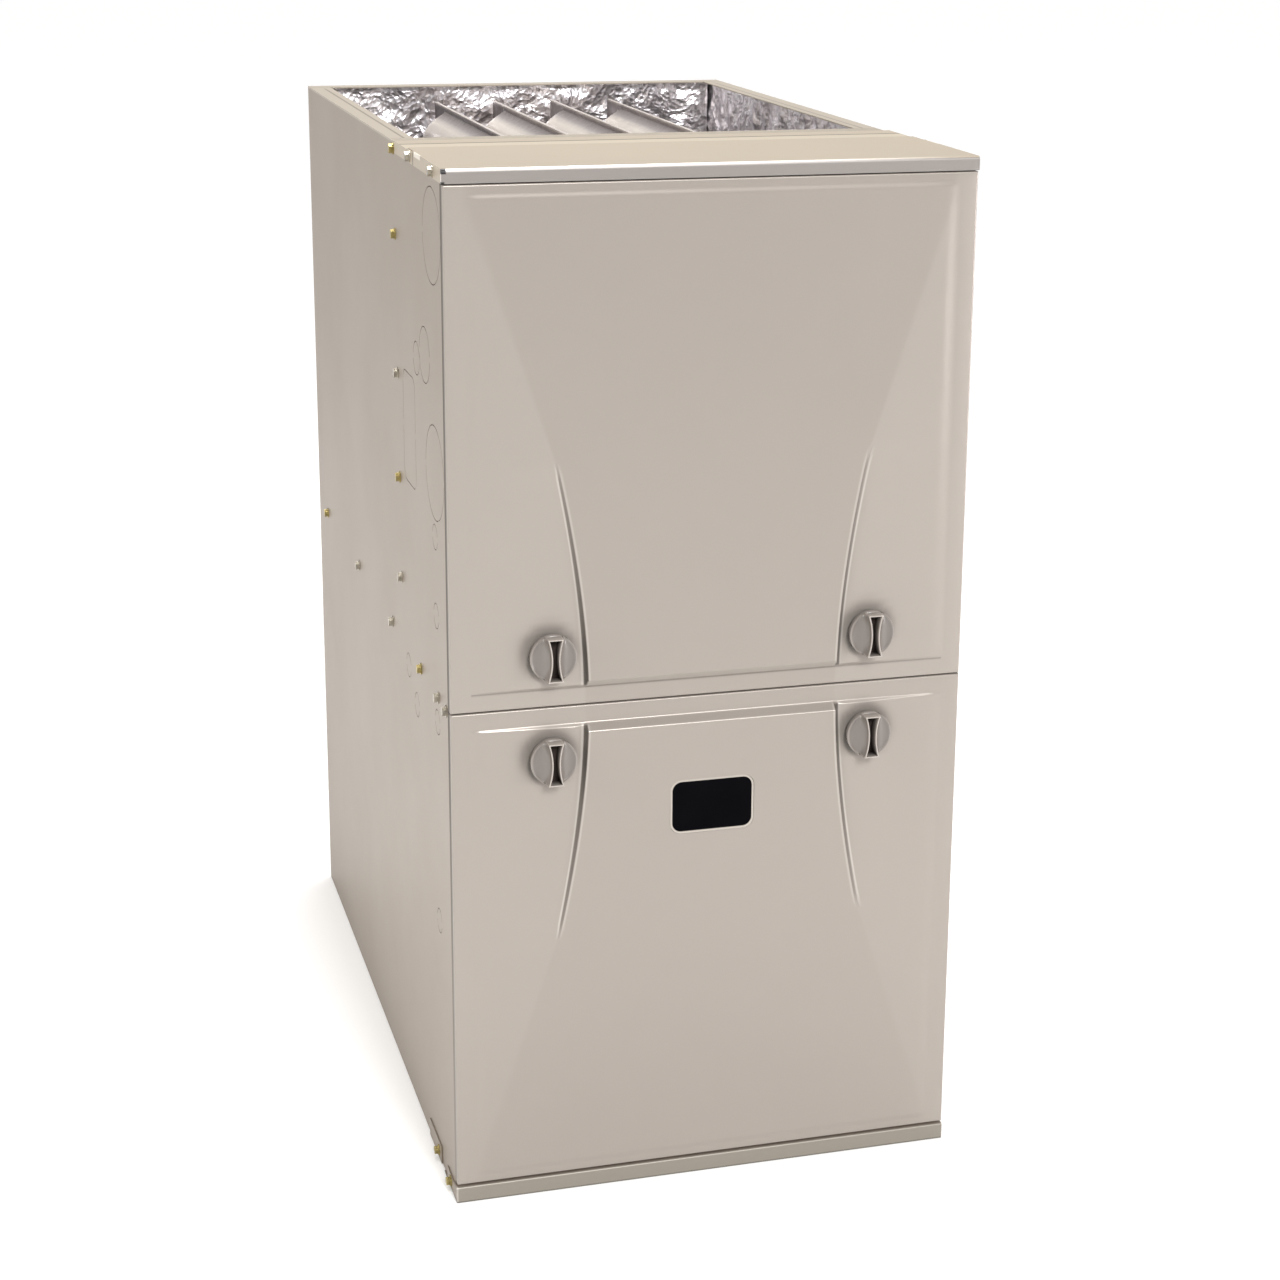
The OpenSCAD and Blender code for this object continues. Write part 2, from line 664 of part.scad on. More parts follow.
// Joins points with round bars, each running a little past its turn
module hose(points, r) {
    for (i = [0 : len(points) - 2]) {
        run = points[i + 1] - points[i];
        level = norm([run[0], run[1]]);
        past = i < len(points) - 2 ? r * 0.6 : 0;
        translate(points[i]) rotate([0, atan2(level, run[2]), atan2(run[1], run[0])])
            cylinder(h = norm(run) + past, r = r);
    }
}

module pressure_tube() color([0.55, 0.16, 0.14]) place() {
    hose([[press_x, press_y - 16.3, press_z], [press_x, press_y - 34, press_z],
        [press_x - 16, press_y - 42, press_z - 20],
        [scroll_r + 26, inducer_y[0] + 24, inducer_z + 24],
        [scroll_r * cos(20) + 1.2, inducer_y[0] + 24, inducer_z + scroll_r * sin(20) + 1]], 3.2);
}

trap_y = [140, 212];                        // front and back of the condensate trap
trap_z = [seam_z - 124, seam_z - 22];       // its foot and top
trap_w = 40;                                // its width

module condensate_trap() color([0.86, 0.86, 0.83]) place() {
    difference() {
        union() {
            block([-in_x, trap_y[0], trap_z[0]], [-in_x + trap_w, trap_y[1], trap_z[1]]);
            bar_z(drain_x, drain_y, trap_z[1] - 1, trap_z[1] + 10, drain_r + 2.5);
            bar_y(-in_x + trap_w / 2, trap_y[0] - 14, trap_y[0] + 1, trap_z[0] + 30, 8);
        }
        bar_z(drain_x, drain_y, trap_z[1] - 30, trap_z[1] + 11, drain_r + seat);
        bar_y(-in_x + trap_w / 2, trap_y[0] - 15, trap_y[0] + 20, trap_z[0] + 30, 6);
    }
}

module drain_tube() color([0.2, 0.2, 0.2]) place() {
    x = -collect_x + 16;
    hose([[drain_x, drain_y, trap_z[1] - 8], [drain_x, drain_y, shelf_top + 14],
        [drain_x + 14, drain_y + 6, shelf_top + 22], [x - 12, cell_y - 26, coil_low - 14],
        [x, cell_y - 20, coil_low - 8], [x, cell_y - 20, coil_low - seat]], drain_r);
}

// ---------- blower ----------

scroll_gap = [13, 21, 29];                  // scroll radius over the wheel: top, front, foot
side_x = wheel_w / 2 + 18;                  // outer face of the blower's side plates
mouth_r = wheel_r - 18;                     // inlet holes in the side plates
outlet_top = shelf_z;                       // the outlet ends under the blower shelf
hub_r = 18;                                 // radius of the wheel's hub

// A quarter of a disc between 90 * n and 90 * (n + 1) degrees
module quarter(n, r) {
    rotate([0, 0, 90 * n]) intersection() {
        circle(r = r);
        square([r + 1, r + 1]);
    }
}

// Outline of the scroll round the blower axis, X back and Y up; inset draws its inside
module scroll(inset) {
    quarter(1, wheel_r + scroll_gap[0] - inset);
    quarter(2, wheel_r + scroll_gap[1] - inset);
    quarter(3, wheel_r + scroll_gap[2] - inset);
    quarter(0, wheel_r + scroll_gap[0] - inset);
    translate([outlet_y[0] - blower_y - sheet + inset, 0])
        square([outlet_y[1] - outlet_y[0] + 2 * (sheet - inset), outlet_top - blower_z]);
}

module across(x0, x1) {
    translate([x0, blower_y, blower_z]) rotate([90, 0, 90]) linear_extrude(height = x1 - x0) children();
}

module blower_housing() color([0.76, 0.77, 0.77]) place() {
    difference() {
        across(-side_x, side_x) scroll(0);
        across(-side_x + sheet, side_x - sheet) scroll(sheet);
        across(-outlet_half, outlet_half) translate([outlet_y[0] - blower_y, 0])
            square([outlet_y[1] - outlet_y[0], outlet_top - blower_z + 1]);
        bar_x(-side_x - 1, side_x + 1, blower_y, blower_z, mouth_r);
    }
    // flanges that slide on the shelf's runners
    both_sides() block([side_x - eps, outlet_y[0] - 40, outlet_top - 3 * sheet - seat],
        [side_x + 16, outlet_y[1], outlet_top - 2 * sheet - seat]);
    both_sides() block([side_x - eps, outlet_y[0] - 40, outlet_top - 24],
        [side_x + sheet, outlet_y[0] + 40, outlet_top - 2 * sheet - seat]);
}

blades = 36;                                // blades of the blower wheel
module blower_wheel() color([0.72, 0.73, 0.74]) place() {
    ring = 6;
    translate([0, blower_y, blower_z]) rotate([0, 90, 0]) {
        for (z = [-wheel_w / 2, wheel_w / 2 - ring]) translate([0, 0, z]) difference() {
            cylinder(h = ring, r = wheel_r);
            translate([0, 0, -1]) cylinder(h = ring + 2, r = wheel_r - 22);
        }
        difference() {
            union() {
                translate([0, 0, -2]) cylinder(h = 4, r = wheel_r - 1);
                translate([0, 0, -14]) cylinder(h = 28, r = hub_r);
            }
            translate([0, 0, -15]) cylinder(h = 30, r = shaft_r + running);
        }
        for (i = [0 : blades - 1]) rotate([0, 0, i * 360 / blades])
            translate([wheel_r - 12, 0, 0]) rotate([0, 0, 28])
                cube([19, 1.2, wheel_w - 2], center = true);
    }
}

motor_x = [26, 128];                        // ends of the motor along the shaft
module blower_shaft() color([0.55, 0.56, 0.58]) place()
    bar_x(-24, motor_x[0] + 40, blower_y, blower_z, shaft_r);

module blower_motor() color([0.17, 0.17, 0.18]) place() {
    difference() {
        union() {
            bar_x(motor_x[0], motor_x[1], blower_y, blower_z, motor_r);
            bar_x(motor_x[1] - 1, motor_x[1] + 10, blower_y, blower_z, motor_r - 22);
        }
        bar_x(motor_x[0] - 1, motor_x[0] + 42, blower_y, blower_z, shaft_r + running);
        for (a = [0 : 30 : 330]) translate([0, blower_y, blower_z]) rotate([a, 0, 0])
            block([motor_x[1] - 14, motor_r - 6, -3], [motor_x[1] - 4, motor_r + 1, 3]);
    }
}

module motor_mount() color([0.5, 0.51, 0.52]) place() {
    translate([0, blower_y, blower_z]) rotate([0, 90, 0]) {
        translate([0, 0, side_x - 14]) difference() {
            cylinder(h = 24, r = motor_r + 2 + seat);
            translate([0, 0, -1]) cylinder(h = 26, r = motor_r + seat);
        }
        for (a = [30, 150, 270]) rotate([0, 0, a])
            translate([motor_r + 1.5, -9, side_x]) cube([mouth_r + 14 - motor_r, 18, 2]);
    }
}

cap_r = 21;                                 // radius of the capacitor
module capacitor() color([0.78, 0.79, 0.8]) place() {
    y = blower_y - wheel_r * 0.62;
    z = blower_z + wheel_r * 0.1;
    bar_z(-side_x - cap_r - seat, y - 30, z + 40, z + 110, cap_r);
    for (dy = [-6, 6]) bar_z(-side_x - cap_r - seat, y - 30 + dy, z + 109, z + 117, 2);
}

// ---------- controls ----------

bracket_y = 75;                             // front of the control bracket
bracket_x = 145;                            // its half width
bracket_z = [seam_z - 190, seam_z - 2 * sheet];// its foot and top
board_y = bracket_y - 10;                   // front of the circuit board
board_z = [seam_z - 162, seam_z - 32];      // its foot and top
board_x = 78;                               // its half width

module control_bracket() color([0.76, 0.77, 0.77]) place() {
    block([-bracket_x, bracket_y, bracket_z[0]], [bracket_x, bracket_y + sheet, shelf_z]);
    block([-bracket_x, bracket_y, shelf_z - sheet], [bracket_x, bracket_y + 26, shelf_z]);
    both_sides() block([bracket_x - sheet, bracket_y, bracket_z[0]],
        [bracket_x, bracket_y + 26, shelf_z]);
}

module control_board() color([0.1, 0.32, 0.2]) place() {
    block([-board_x, board_y, board_z[0]], [board_x, board_y + 1.6, board_z[1]]);
    for (sx = [-1, 1], z = [board_z[0] + 7, board_z[1] - 7])
        bar_y(sx * (board_x - 7), board_y + 1.5, bracket_y, z, 3);
    for (i = [0 : 3])                       // relays
        block([-board_x + 10 + i * 24, board_y - 15, board_z[1] - 42],
            [-board_x + 28 + i * 24, board_y + 0.5, board_z[1] - 18]);
    for (i = [0 : 7])                       // spade terminals
        block([-board_x + 12 + i * 11, board_y - 9, board_z[1] - 11],
            [-board_x + 12.8 + i * 11, board_y + 0.5, board_z[1] - 5]);
    block([-26, board_y - 13, board_z[0] + 8], [34, board_y + 0.5, board_z[0] + 20]);
    block([board_x - 22, board_y - 9, board_z[0] + 36], [board_x - 10, board_y + 0.5, board_z[0] + 70]);
    block([-board_x + 10, board_y - 5, board_z[0] + 34], [-board_x + 34, board_y + 0.5, board_z[0] + 58]);
    bar_y(4, board_y - 8, board_y + 0.5, (board_z[0] + board_z[1]) / 2, 2.5);
}

module transformer() color([0.23, 0.23, 0.25]) place() {
    x = board_x + 34;
    z = seam_z - 130;
    block([x - 22, bracket_y - 34, z - 26], [x + 22, bracket_y, z + 26]);
    block([x - 14, bracket_y - 42, z - 17], [x + 14, bracket_y, z + 17]);
    block([x - 28, bracket_y - 1.5, z - 8], [x + 28, bracket_y, z + 8]);
}

plunge_x = -62;                             // axis of the door switch's plunger, across
plunge_z = seam_z - 34;                     // and height
plunge_travel = 4;                          // how far the plunger goes in
striker_y = door_depth - 0.2;               // back face of the lower door's striker

module door_switch() color([0.9, 0.9, 0.88]) place() difference() {
    union() {
        block([plunge_x - 13, rail_back + 4, plunge_z - 10], [plunge_x + 13, rail_back + 34, plunge_z + 9]);
        block([plunge_x - 16, rail_back + 14, plunge_z - 10],
            [plunge_x + 16, rail_back + 16, shelf_z]);
    }
    bar_y(plunge_x, rail_back + 3, rail_back + 15, plunge_z, 3.5 + running);
}

module switch_plunger() color([0.2, 0.2, 0.22]) place()
    bar_y(plunge_x, striker_y + seat, rail_back + 14 - plunge_travel, plunge_z, 3.5);

jbox_z = [seam_z + 50, seam_z + 158];       // foot and top of the junction box
module junction_box() color([0.73, 0.74, 0.74]) place() {
    x1 = -in_x + 54;
    difference() {
        block([-in_x, 28, jbox_z[0]], [x1, 96, jbox_z[1]]);
        block([-in_x + sheet, 27, jbox_z[0] + sheet], [x1 - sheet, 96 - sheet, jbox_z[1] - sheet]);
    }
    block([-in_x + 2, 28 - sheet, jbox_z[0] - 3], [x1 + 3, 28, jbox_z[1] + 3]);
}

// ---------- screws ----------

// A hex-head screw with its washer face, its head pointing out of the left side
module side_screw(y, z, out) {
    translate([-half_w - out, y, z]) rotate([0, -90, 0]) {
        cylinder(h = 1, r = 5);
        translate([0, 0, 0.9]) cylinder(h = 3.2, r = 4, $fn = 6);
    }
}

shelf_row = shelf_z - 3;                    // height of the screws that hold the shelf
// Distance back, height and what lies under the head
zinc_spots = [
    [226, cab_h - 9, 0], [225, cab_h - 82, 0], [225, seam_z + 147, 0], [136, shelf_row, 0],
    [cab_d - 61, shelf_row, 0], [84, 7.5, sheet], [29, 6.5, sheet]
];
bright_spots = [
    [38, cab_h - 6, sheet], [140, cab_h - 6, sheet], [225, cab_h - 204, 0], [225, seam_z + 55, 0],
    [case_y + 8, shelf_row, 0], [56, shelf_row, 0], [281, shelf_row, 0], [cab_d - 273, shelf_row, 0]
];

module zinc_screws() color([0.83, 0.74, 0.45]) place()
    both_sides() for (s = zinc_spots) side_screw(s[0], s[1], s[2]);

module bright_screws() color([0.74, 0.72, 0.68]) place()
    both_sides() for (s = bright_spots) side_screw(s[0], s[1], s[2]);

// ---------- doors ----------

upper_door_z = [seam_z + door_gap / 2, cab_h - lip_h - door_gap];
lower_door_z = [rail_h + foot_gap, seam_z - door_gap / 2];
door_x = half_w + 0.4;
field_x = half_w - border_w;                // edge of the raised field
panel_end_x = half_w - 113;                 // centre panel's half width at the knob end
apex_x = half_w - 83;                       // and where its step runs out
apex_up = 204;                              // distance from the seam to that point
field_near = 15;                            // field's edge nearest the seam
field_rise = 0.8;                           // step at the field's edge
panel_slope = 7;                            // length of the centre panel's end slope

lower_h = lower_door_z[1] - lower_door_z[0];
upper_h = upper_door_z[1] - upper_door_z[0];

// Height of the bowed centre panel; t runs from 0 at the far edge of the field to 1 by the knobs
function bow(t) = field_rise + (panel_proud - field_rise) * (0.36 * t + 0.64 * t * t);
function far_edge(door_h) = door_h - border_w / 2;
// Height of the centre panel at a distance v from the door's knob end
function panel_at(door_h, v) =
    bow((far_edge(door_h) - v) / (far_edge(door_h) - field_near - panel_slope));

// Relief of a door in its own upright plane: X across, Y up from the seam, Z out.
// inset draws the hollow behind the pressed sheet.
module relief(door_h, inset) {
    far = far_edge(door_h);
    near = field_near + panel_slope;
    steps = 6;
    // Centre panel: a bowed profile between slanting sides
    intersection() {
        rotate([90, 0, 90]) translate([0, 0, -half_w]) linear_extrude(height = cab_w)
            polygon(concat([[field_near + inset, -eps]],
                [for (i = [0 : steps]) let (v = near + (far - near) * i / steps)
                    [v + inset * (1 - 2 * i / steps), max(panel_at(door_h, v) - inset, 0.02)]],
                [[far - inset, -eps]]));
        translate([0, 0, -1]) linear_extrude(height = 20)
            polygon([[-panel_end_x + inset, 0], [-panel_end_x + inset, near],
                [-apex_x + inset, apex_up], [-field_x + inset, far], [field_x - inset, far],
                [apex_x - inset, apex_up], [panel_end_x - inset, near],
                [panel_end_x - inset, 0]]);
    }
    // Pocket facets: each rises from the side border towards the centre panel
    for (sx = [-1, 1]) scale_x(sx) intersection() {
        translate([0, far - inset, 0]) rotate([90, 0, 0])
            linear_extrude(height = far - field_near - 2 * inset)
                polygon([[panel_end_x - 12, -eps], [panel_end_x - 12, pocket_proud - inset],
                    [panel_end_x, pocket_proud - inset],
                    [field_x - inset, max(field_rise - inset, 0.02)], [field_x - inset, -eps]]);
        translate([0, 0, -1]) linear_extrude(height = 20)
            polygon([[panel_end_x - 10, field_near + inset], [field_x - inset, field_near + inset],
                [field_x - inset, far - inset], [apex_x - 4, apex_up],
                [panel_end_x - 10, field_near + 40]]);
    }
}

module scale_x(sx) {
    mirror([sx < 0 ? 1 : 0, 0, 0]) children();
}

// A door pan lying in its own plane: back open, returns all round
module door_pan(door_h) {
    difference() {
        union() {
            translate([-door_x, 0, -door_depth]) cube([2 * door_x, door_h, door_depth]);
            relief(door_h, 0);
        }
        translate([-door_x + door_sheet, door_sheet, -door_depth - 1])
            cube([2 * (door_x - door_sheet), door_h - 2 * door_sheet, door_depth + 1 - door_sheet]);
        translate([0, 0, -door_sheet - eps]) relief(door_h, door_sheet);
        for (sx = [-1, 1]) translate([sx * knob_x, knob_up - door_gap / 2, -door_depth])
            cylinder(h = door_depth + 12, r = knob_shaft_d / 2 + seat);
    }
}

// Stands a door's own plane up on the front of the cabinet, knob end at the seam
module hang(z, up) {
    translate([0, 0, z]) rotate([90, 0, 0]) mirror([0, up ? 0 : 1, 0]) children();
}

module upper_door() color([0.78, 0.74, 0.69]) place()
    hang(upper_door_z[0], true) door_pan(upper_h);

window_seat = 0.4;                          // clearance round the sight gasket
rim_w = 1.8;                                // width of the gasket's rim round the glass
glass_y = 0.8 - panel_at(lower_h, glass_down);  // front of the glass, just behind the panel
// The striker starts inside the pressed sheet of the centre panel
striker_root = 0.6 - panel_at(lower_h, lower_door_z[1] - plunge_z + 6);

module lower_door() color([0.78, 0.74, 0.69]) place() {
    difference() {
        hang(lower_door_z[1], false) door_pan(lower_h);
        translate([0, 0, seam_z - glass_down]) upright(-12, 12)
            round_rect(glass_w + 2 * rim_w + 2 * window_seat, glass_h + 2 * rim_w + 2 * window_seat,
                glass_r + rim_w + window_seat);
    }
    block([plunge_x - 7, striker_root, plunge_z - 6], [plunge_x + 7, striker_y, plunge_z + 6]);
}

module sight_glass() color([0.03, 0.03, 0.04]) place()
    translate([0, 0, seam_z - glass_down]) upright(glass_y, glass_y + 3)
        round_rect(glass_w, glass_h, glass_r);

module sight_gasket() color([0.8, 0.78, 0.74]) place()
    translate([0, 0, seam_z - glass_down]) {
        upright(glass_y - 0.8, glass_y + 9) difference() {
            round_rect(glass_w + 2 * rim_w, glass_h + 2 * rim_w, glass_r + rim_w);
            round_rect(glass_w + 0.2, glass_h + 0.2, glass_r + 0.1);
        }
    }

// ---------- knobs ----------

disc_y = -(pocket_proud + 0.9);             // back face of a knob's disc
disc_t = 5;
grip_half = 3.6;                            // half width of the grip bar at its waist
grip_arc = 57;                              // radius of its hollow flanks
grip_wall = 1.1;
cam_l = 29;                                 // length of the cross bar behind the latch rail

// Bow-tie outline of the grip bar
module grip_outline(inset) {
    difference() {
        circle(r = knob_d / 2 - 0.6 - inset);
        for (sx = [-1, 1])
            translate([sx * (grip_arc + grip_half - inset), 0]) circle(r = grip_arc, $fn = 96);
    }
}

// A knob on its axis, X across, Y up, Z out of the door
module knob_body() {
    reach = knob_reach;
    back = -disc_y;
    difference() {
        union() {
            translate([0, 0, back]) cylinder(h = disc_t, r = knob_d / 2);
            translate([0, 0, back]) linear_extrude(height = reach - back) grip_outline(0);
        }
        translate([0, 0, back + disc_t - 2]) linear_extrude(height = reach) grip_outline(grip_wall);
    }
    translate([0, 0, -rail_back - 4]) cylinder(h = back + rail_back + 5, r = knob_shaft_d / 2);
    translate([-knob_shaft_d / 2, -cam_l / 2, -rail_back - 4]) cube([knob_shaft_d, cam_l, 3]);
}

module knob_at(sx, sz) {
    translate([sx * knob_x, 0, seam_z + sz * knob_up]) rotate([90, 0, 0]) knob_body();
}

module upper_left_knob() color([0.66, 0.63, 0.59]) place() knob_at(-1, 1);
module upper_right_knob() color([0.66, 0.63, 0.59]) place() knob_at(1, 1);
module lower_left_knob() color([0.66, 0.63, 0.59]) place() knob_at(-1, -1);
module lower_right_knob() color([0.66, 0.63, 0.59]) place() knob_at(1, -1);

casing();
top_closure();
cross_plate();
base_rail();
bottom_closure();
blower_shelf();
latch_rail();
cell_panel();
insulation_left();
insulation_right();
insulation_back();
heat_cell_1();
heat_cell_2();
heat_cell_3();
heat_cell_4();
condensing_coil();
coupling_box();
collector_box();
burner_box();
burners();
manifold();
orifices();
gas_valve();
gas_switch();
igniter();
flame_sensor();
rollout_switch();
reset_button();
limit_switch();
inducer_housing();
inducer_wheel();
inducer_motor();
vent_elbow();
pressure_switch();
pressure_tube();
condensate_trap();
drain_tube();
blower_housing();
blower_wheel();
blower_shaft();
blower_motor();
motor_mount();
capacitor();
control_bracket();
control_board();
transformer();
door_switch();
switch_plunger();
junction_box();
zinc_screws();
bright_screws();
upper_door();
lower_door();
sight_glass();
sight_gasket();
upper_left_knob();
upper_right_knob();
lower_left_knob();
lower_right_knob();
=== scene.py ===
import json
import math

import bmesh
import bpy
import numpy as np
from mathutils import Matrix, Vector


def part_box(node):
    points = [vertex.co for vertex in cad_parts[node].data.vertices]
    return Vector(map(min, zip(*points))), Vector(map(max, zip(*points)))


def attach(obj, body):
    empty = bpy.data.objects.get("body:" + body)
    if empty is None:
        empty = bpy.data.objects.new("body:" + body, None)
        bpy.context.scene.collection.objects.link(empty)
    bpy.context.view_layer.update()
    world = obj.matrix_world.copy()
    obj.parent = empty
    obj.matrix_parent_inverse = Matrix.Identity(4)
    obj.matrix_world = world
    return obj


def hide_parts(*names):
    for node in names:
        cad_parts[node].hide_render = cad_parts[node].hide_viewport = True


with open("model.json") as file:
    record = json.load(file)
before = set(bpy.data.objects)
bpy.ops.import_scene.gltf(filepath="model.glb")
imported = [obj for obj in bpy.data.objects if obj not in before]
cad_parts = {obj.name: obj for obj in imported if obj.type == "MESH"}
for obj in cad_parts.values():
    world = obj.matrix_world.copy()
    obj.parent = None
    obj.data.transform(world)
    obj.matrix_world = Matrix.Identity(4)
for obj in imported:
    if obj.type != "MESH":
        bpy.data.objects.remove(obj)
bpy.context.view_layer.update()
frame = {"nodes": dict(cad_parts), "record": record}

# An upright gas furnace in metres, standing on z = 0 with its doors towards -Y.
# The CAD nodes keep their shapes and get finishes here; the pressed doors, the knobs, the heat
# cells and the foil-faced insulation are replaced by finer surfaces.

MM = 0.001
NODES = frame["nodes"]


def span(node):
    """Low and high corners of a CAD node as arrays."""
    low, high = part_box(node)
    return np.array(low), np.array(high)


# ---------- camera and light ----------

PHOTO_SIZE = 1280.0
FOCAL_PX = 2543.0
CENTRE_PX = (687.0, 540.0)
CAMERA_AT = (-0.587, -2.3064, 1.129)
CAMERA_AZ, CAMERA_EL, CAMERA_ROLL = -16.2, 15.2, 0.56

SUN_ALONG = (-0.12, 0.83, -0.55)
SUN_POWER = 2.7
SUN_DEGREES = 18.0
LAMP_TARGET = (0.0, 0.0, 0.5)
LAMPS = {  # place, width, power and tint
    "overhead": ((0.0, 0.5, 3.0), 1.0, 58, (1.0, 0.99, 0.97)),
    "right_key": ((2.9, -2.3, 0.4), 0.9, 46, (1.0, 0.965, 0.975)),
    "left_fill": ((-3.4, -0.8, 1.8), 1.6, 55, (1.0, 0.98, 0.94)),
}
SURROUND_TONE = (1.0, 0.99, 0.98, 1.0)
SURROUND_LIGHT = 0.52
SURROUND_SEEN = 0.5
FLOOR_TONE = (0.94, 0.94, 0.94, 1.0)
FLOOR_ROUGHNESS = 0.85
FLOOR_SEEN = 0.1
FLOOR_REACH = 45.0
FLOOR_GAP = 0.0005


def photo_camera():
    """The photograph's camera: pitch and yaw from azimuth and elevation, then a small roll about
    its own axis. The principal point becomes lens shift."""
    data = bpy.data.cameras.new("photo_camera")
    data.sensor_width = 36.0
    data.lens = FOCAL_PX / PHOTO_SIZE * data.sensor_width
    data.shift_x = (PHOTO_SIZE / 2 - CENTRE_PX[0]) / PHOTO_SIZE
    data.shift_y = (CENTRE_PX[1] - PHOTO_SIZE / 2) / PHOTO_SIZE
    data.clip_start = 0.05
    data.clip_end = 60.0
    camera = bpy.data.objects.new("photo_camera", data)
    turn = Matrix.Rotation(math.radians(CAMERA_AZ), 4, "Z")
    tilt = Matrix.Rotation(math.radians(90.0 - CAMERA_EL), 4, "X")
    roll = Matrix.Rotation(math.radians(CAMERA_ROLL), 4, "Z")
    camera.matrix_world = Matrix.Translation(CAMERA_AT) @ turn @ tilt @ roll
    bpy.context.scene.collection.objects.link(camera)
    bpy.context.scene.camera = camera


def aimed(data, direction, place=(0.0, 0.0, 0.0)):
    """Puts a light in the scene so that it shines along a direction."""
    lamp = bpy.data.objects.new(data.name, data)
    lamp.location = place
    lamp.rotation_euler = Vector(direction).to_track_quat("-Z", "Y").to_euler()
    bpy.context.scene.collection.objects.link(lamp)


def soft_light(name, place, width, power, tint):
    """A square area light that faces the middle of the furnace."""
    data = bpy.data.lights.new(name, "AREA")
    data.shape = "SQUARE"
    data.size = width
    data.energy = power
    data.color = tint
    aimed(data, Vector(LAMP_TARGET) - Vector(place), place)


def high_sun():
    """A broad sun, high in front of the furnace and a little to its right."""
    data = bpy.data.lights.new("high_sun", "SUN")
    data.energy = SUN_POWER
    data.angle = math.radians(SUN_DEGREES)
    aimed(data, SUN_ALONG)


def seen(tree, amount):
    """An amount that counts only where a surface is looked at directly, and lights nothing."""
    path = tree.nodes.new("ShaderNodeLightPath")
    return maths(tree, "MULTIPLY", path.outputs["Is Camera Ray"], amount)


def surround():
    """An even surround that lights dimly but is seen white."""
    world = bpy.data.worlds.new("studio")
    world.use_nodes = True
    tree = world.node_tree
    back = tree.nodes["Background"]
    back.inputs["Color"].default_value = SURROUND_TONE
    strength = maths(tree, "ADD", seen(tree, SURROUND_SEEN), SURROUND_LIGHT)
    tree.links.new(strength, back.inputs["Strength"])
    bpy.context.scene.world = world


def pale_floor():
    """A wide floor just under the furnace, seen white like the surround."""
    mesh = bpy.data.meshes.new("floor")
    corners = [(x * FLOOR_REACH, y * FLOOR_REACH, 0) for x, y in ((-1, -1), (1, -1), (1, 1), (-1, 1))]
    mesh.from_pydata(corners, [], [(0, 1, 2, 3)])
    floor = bpy.data.objects.new("floor", mesh)
    floor.location.z = -FLOOR_GAP
    bpy.context.scene.collection.objects.link(floor)
    coat = bpy.data.materials.new("pale_floor")
    coat.use_nodes = True
    shader = coat.node_tree.nodes["Principled BSDF"]
    shader.inputs["Base Color"].default_value = FLOOR_TONE
    shader.inputs["Roughness"].default_value = FLOOR_ROUGHNESS
    coat.node_tree.links.new(seen(coat.node_tree, FLOOR_SEEN), shader.inputs["Emission Strength"])
    mesh.materials.append(coat)


def studio():
    """The surround, the sun, three soft lamps and the floor, without any tone curve."""
    bpy.context.scene.view_settings.view_transform = "Standard"
    surround()
    high_sun()
    for name, settings in LAMPS.items():
        soft_light(name, *settings)
    pale_floor()


# ---------- node helpers ----------

SOCKET_KINDS = {"Coords": "NodeSocketVector", "Colour": "NodeSocketColor"}
SURFACE = ("Colour", "Roughness", "Height")


def socket_group(name, inputs, outputs):
    """A shader node group with named sockets, which are floats unless their name tells otherwise;
    returns its tree, its inputs and its output node."""
    tree = bpy.data.node_groups.new(name, "ShaderNodeTree")
    for way, labels in (("INPUT", inputs), ("OUTPUT", outputs)):
        for label in labels:
            kind = SOCKET_KINDS.get(label, "NodeSocketFloat")
            tree.interface.new_socket(label, in_out=way, socket_type=kind)
    return tree, tree.nodes.new("NodeGroupInput").outputs, tree.nodes.new("NodeGroupOutput")


def give(tree, outs, **results):
    """Links results to a group's outputs by name."""
    for label, result in results.items():
        tree.links.new(result, outs.inputs[label])


def feed(tree, value, socket):
    """Links a socket, or sets a constant."""
    if isinstance(value, bpy.types.NodeSocket):
        tree.links.new(value, socket)
    else:
        socket.default_value = value


def noise(tree, coords, scale, detail=3.0, rough=0.5):
    """Soft noise from about 0.3 to 0.7 with so many swings per metre."""
    made = tree.nodes.new("ShaderNodeTexNoise")
    tree.links.new(coords, made.inputs["Vector"])
    feed(tree, scale, made.inputs["Scale"])
    made.inputs["Detail"].default_value = detail
    made.inputs["Roughness"].default_value = rough
    return made.outputs["Fac"]


def random_cells(tree, coords, scale):
    """Cells round random points: a node that gives each cell's tone and the distance to its point."""
    made = tree.nodes.new("ShaderNodeTexVoronoi")
    made.feature = "F1"
    tree.links.new(coords, made.inputs["Vector"])
    feed(tree, scale, made.inputs["Scale"])
    return made


def maths(tree, operation, a, b=0.0, clamp=False):
    """The result of one sum on sockets or constants, held between 0 and 1 if clamped."""
    made = tree.nodes.new("ShaderNodeMath")
    made.operation = operation
    made.use_clamp = clamp
    feed(tree, a, made.inputs[0])
    feed(tree, b, made.inputs[1])
    return made.outputs[0]


def swing(tree, value, amount, middle=0.5):
    """How far a value lies over its middle, times an amount."""
    return maths(tree, "MULTIPLY", maths(tree, "SUBTRACT", value, middle), amount)


def ramp(tree, value, low, high, out_low=0.0, out_high=1.0):
    """Maps value from low..high to out_low..out_high, held at its ends."""
    made = tree.nodes.new("ShaderNodeMapRange")
    for label, number in (("Value", value), ("From Min", low), ("From Max", high),
                          ("To Min", out_low), ("To Max", out_high)):
        feed(tree, number, made.inputs[label])
    return made.outputs["Result"]


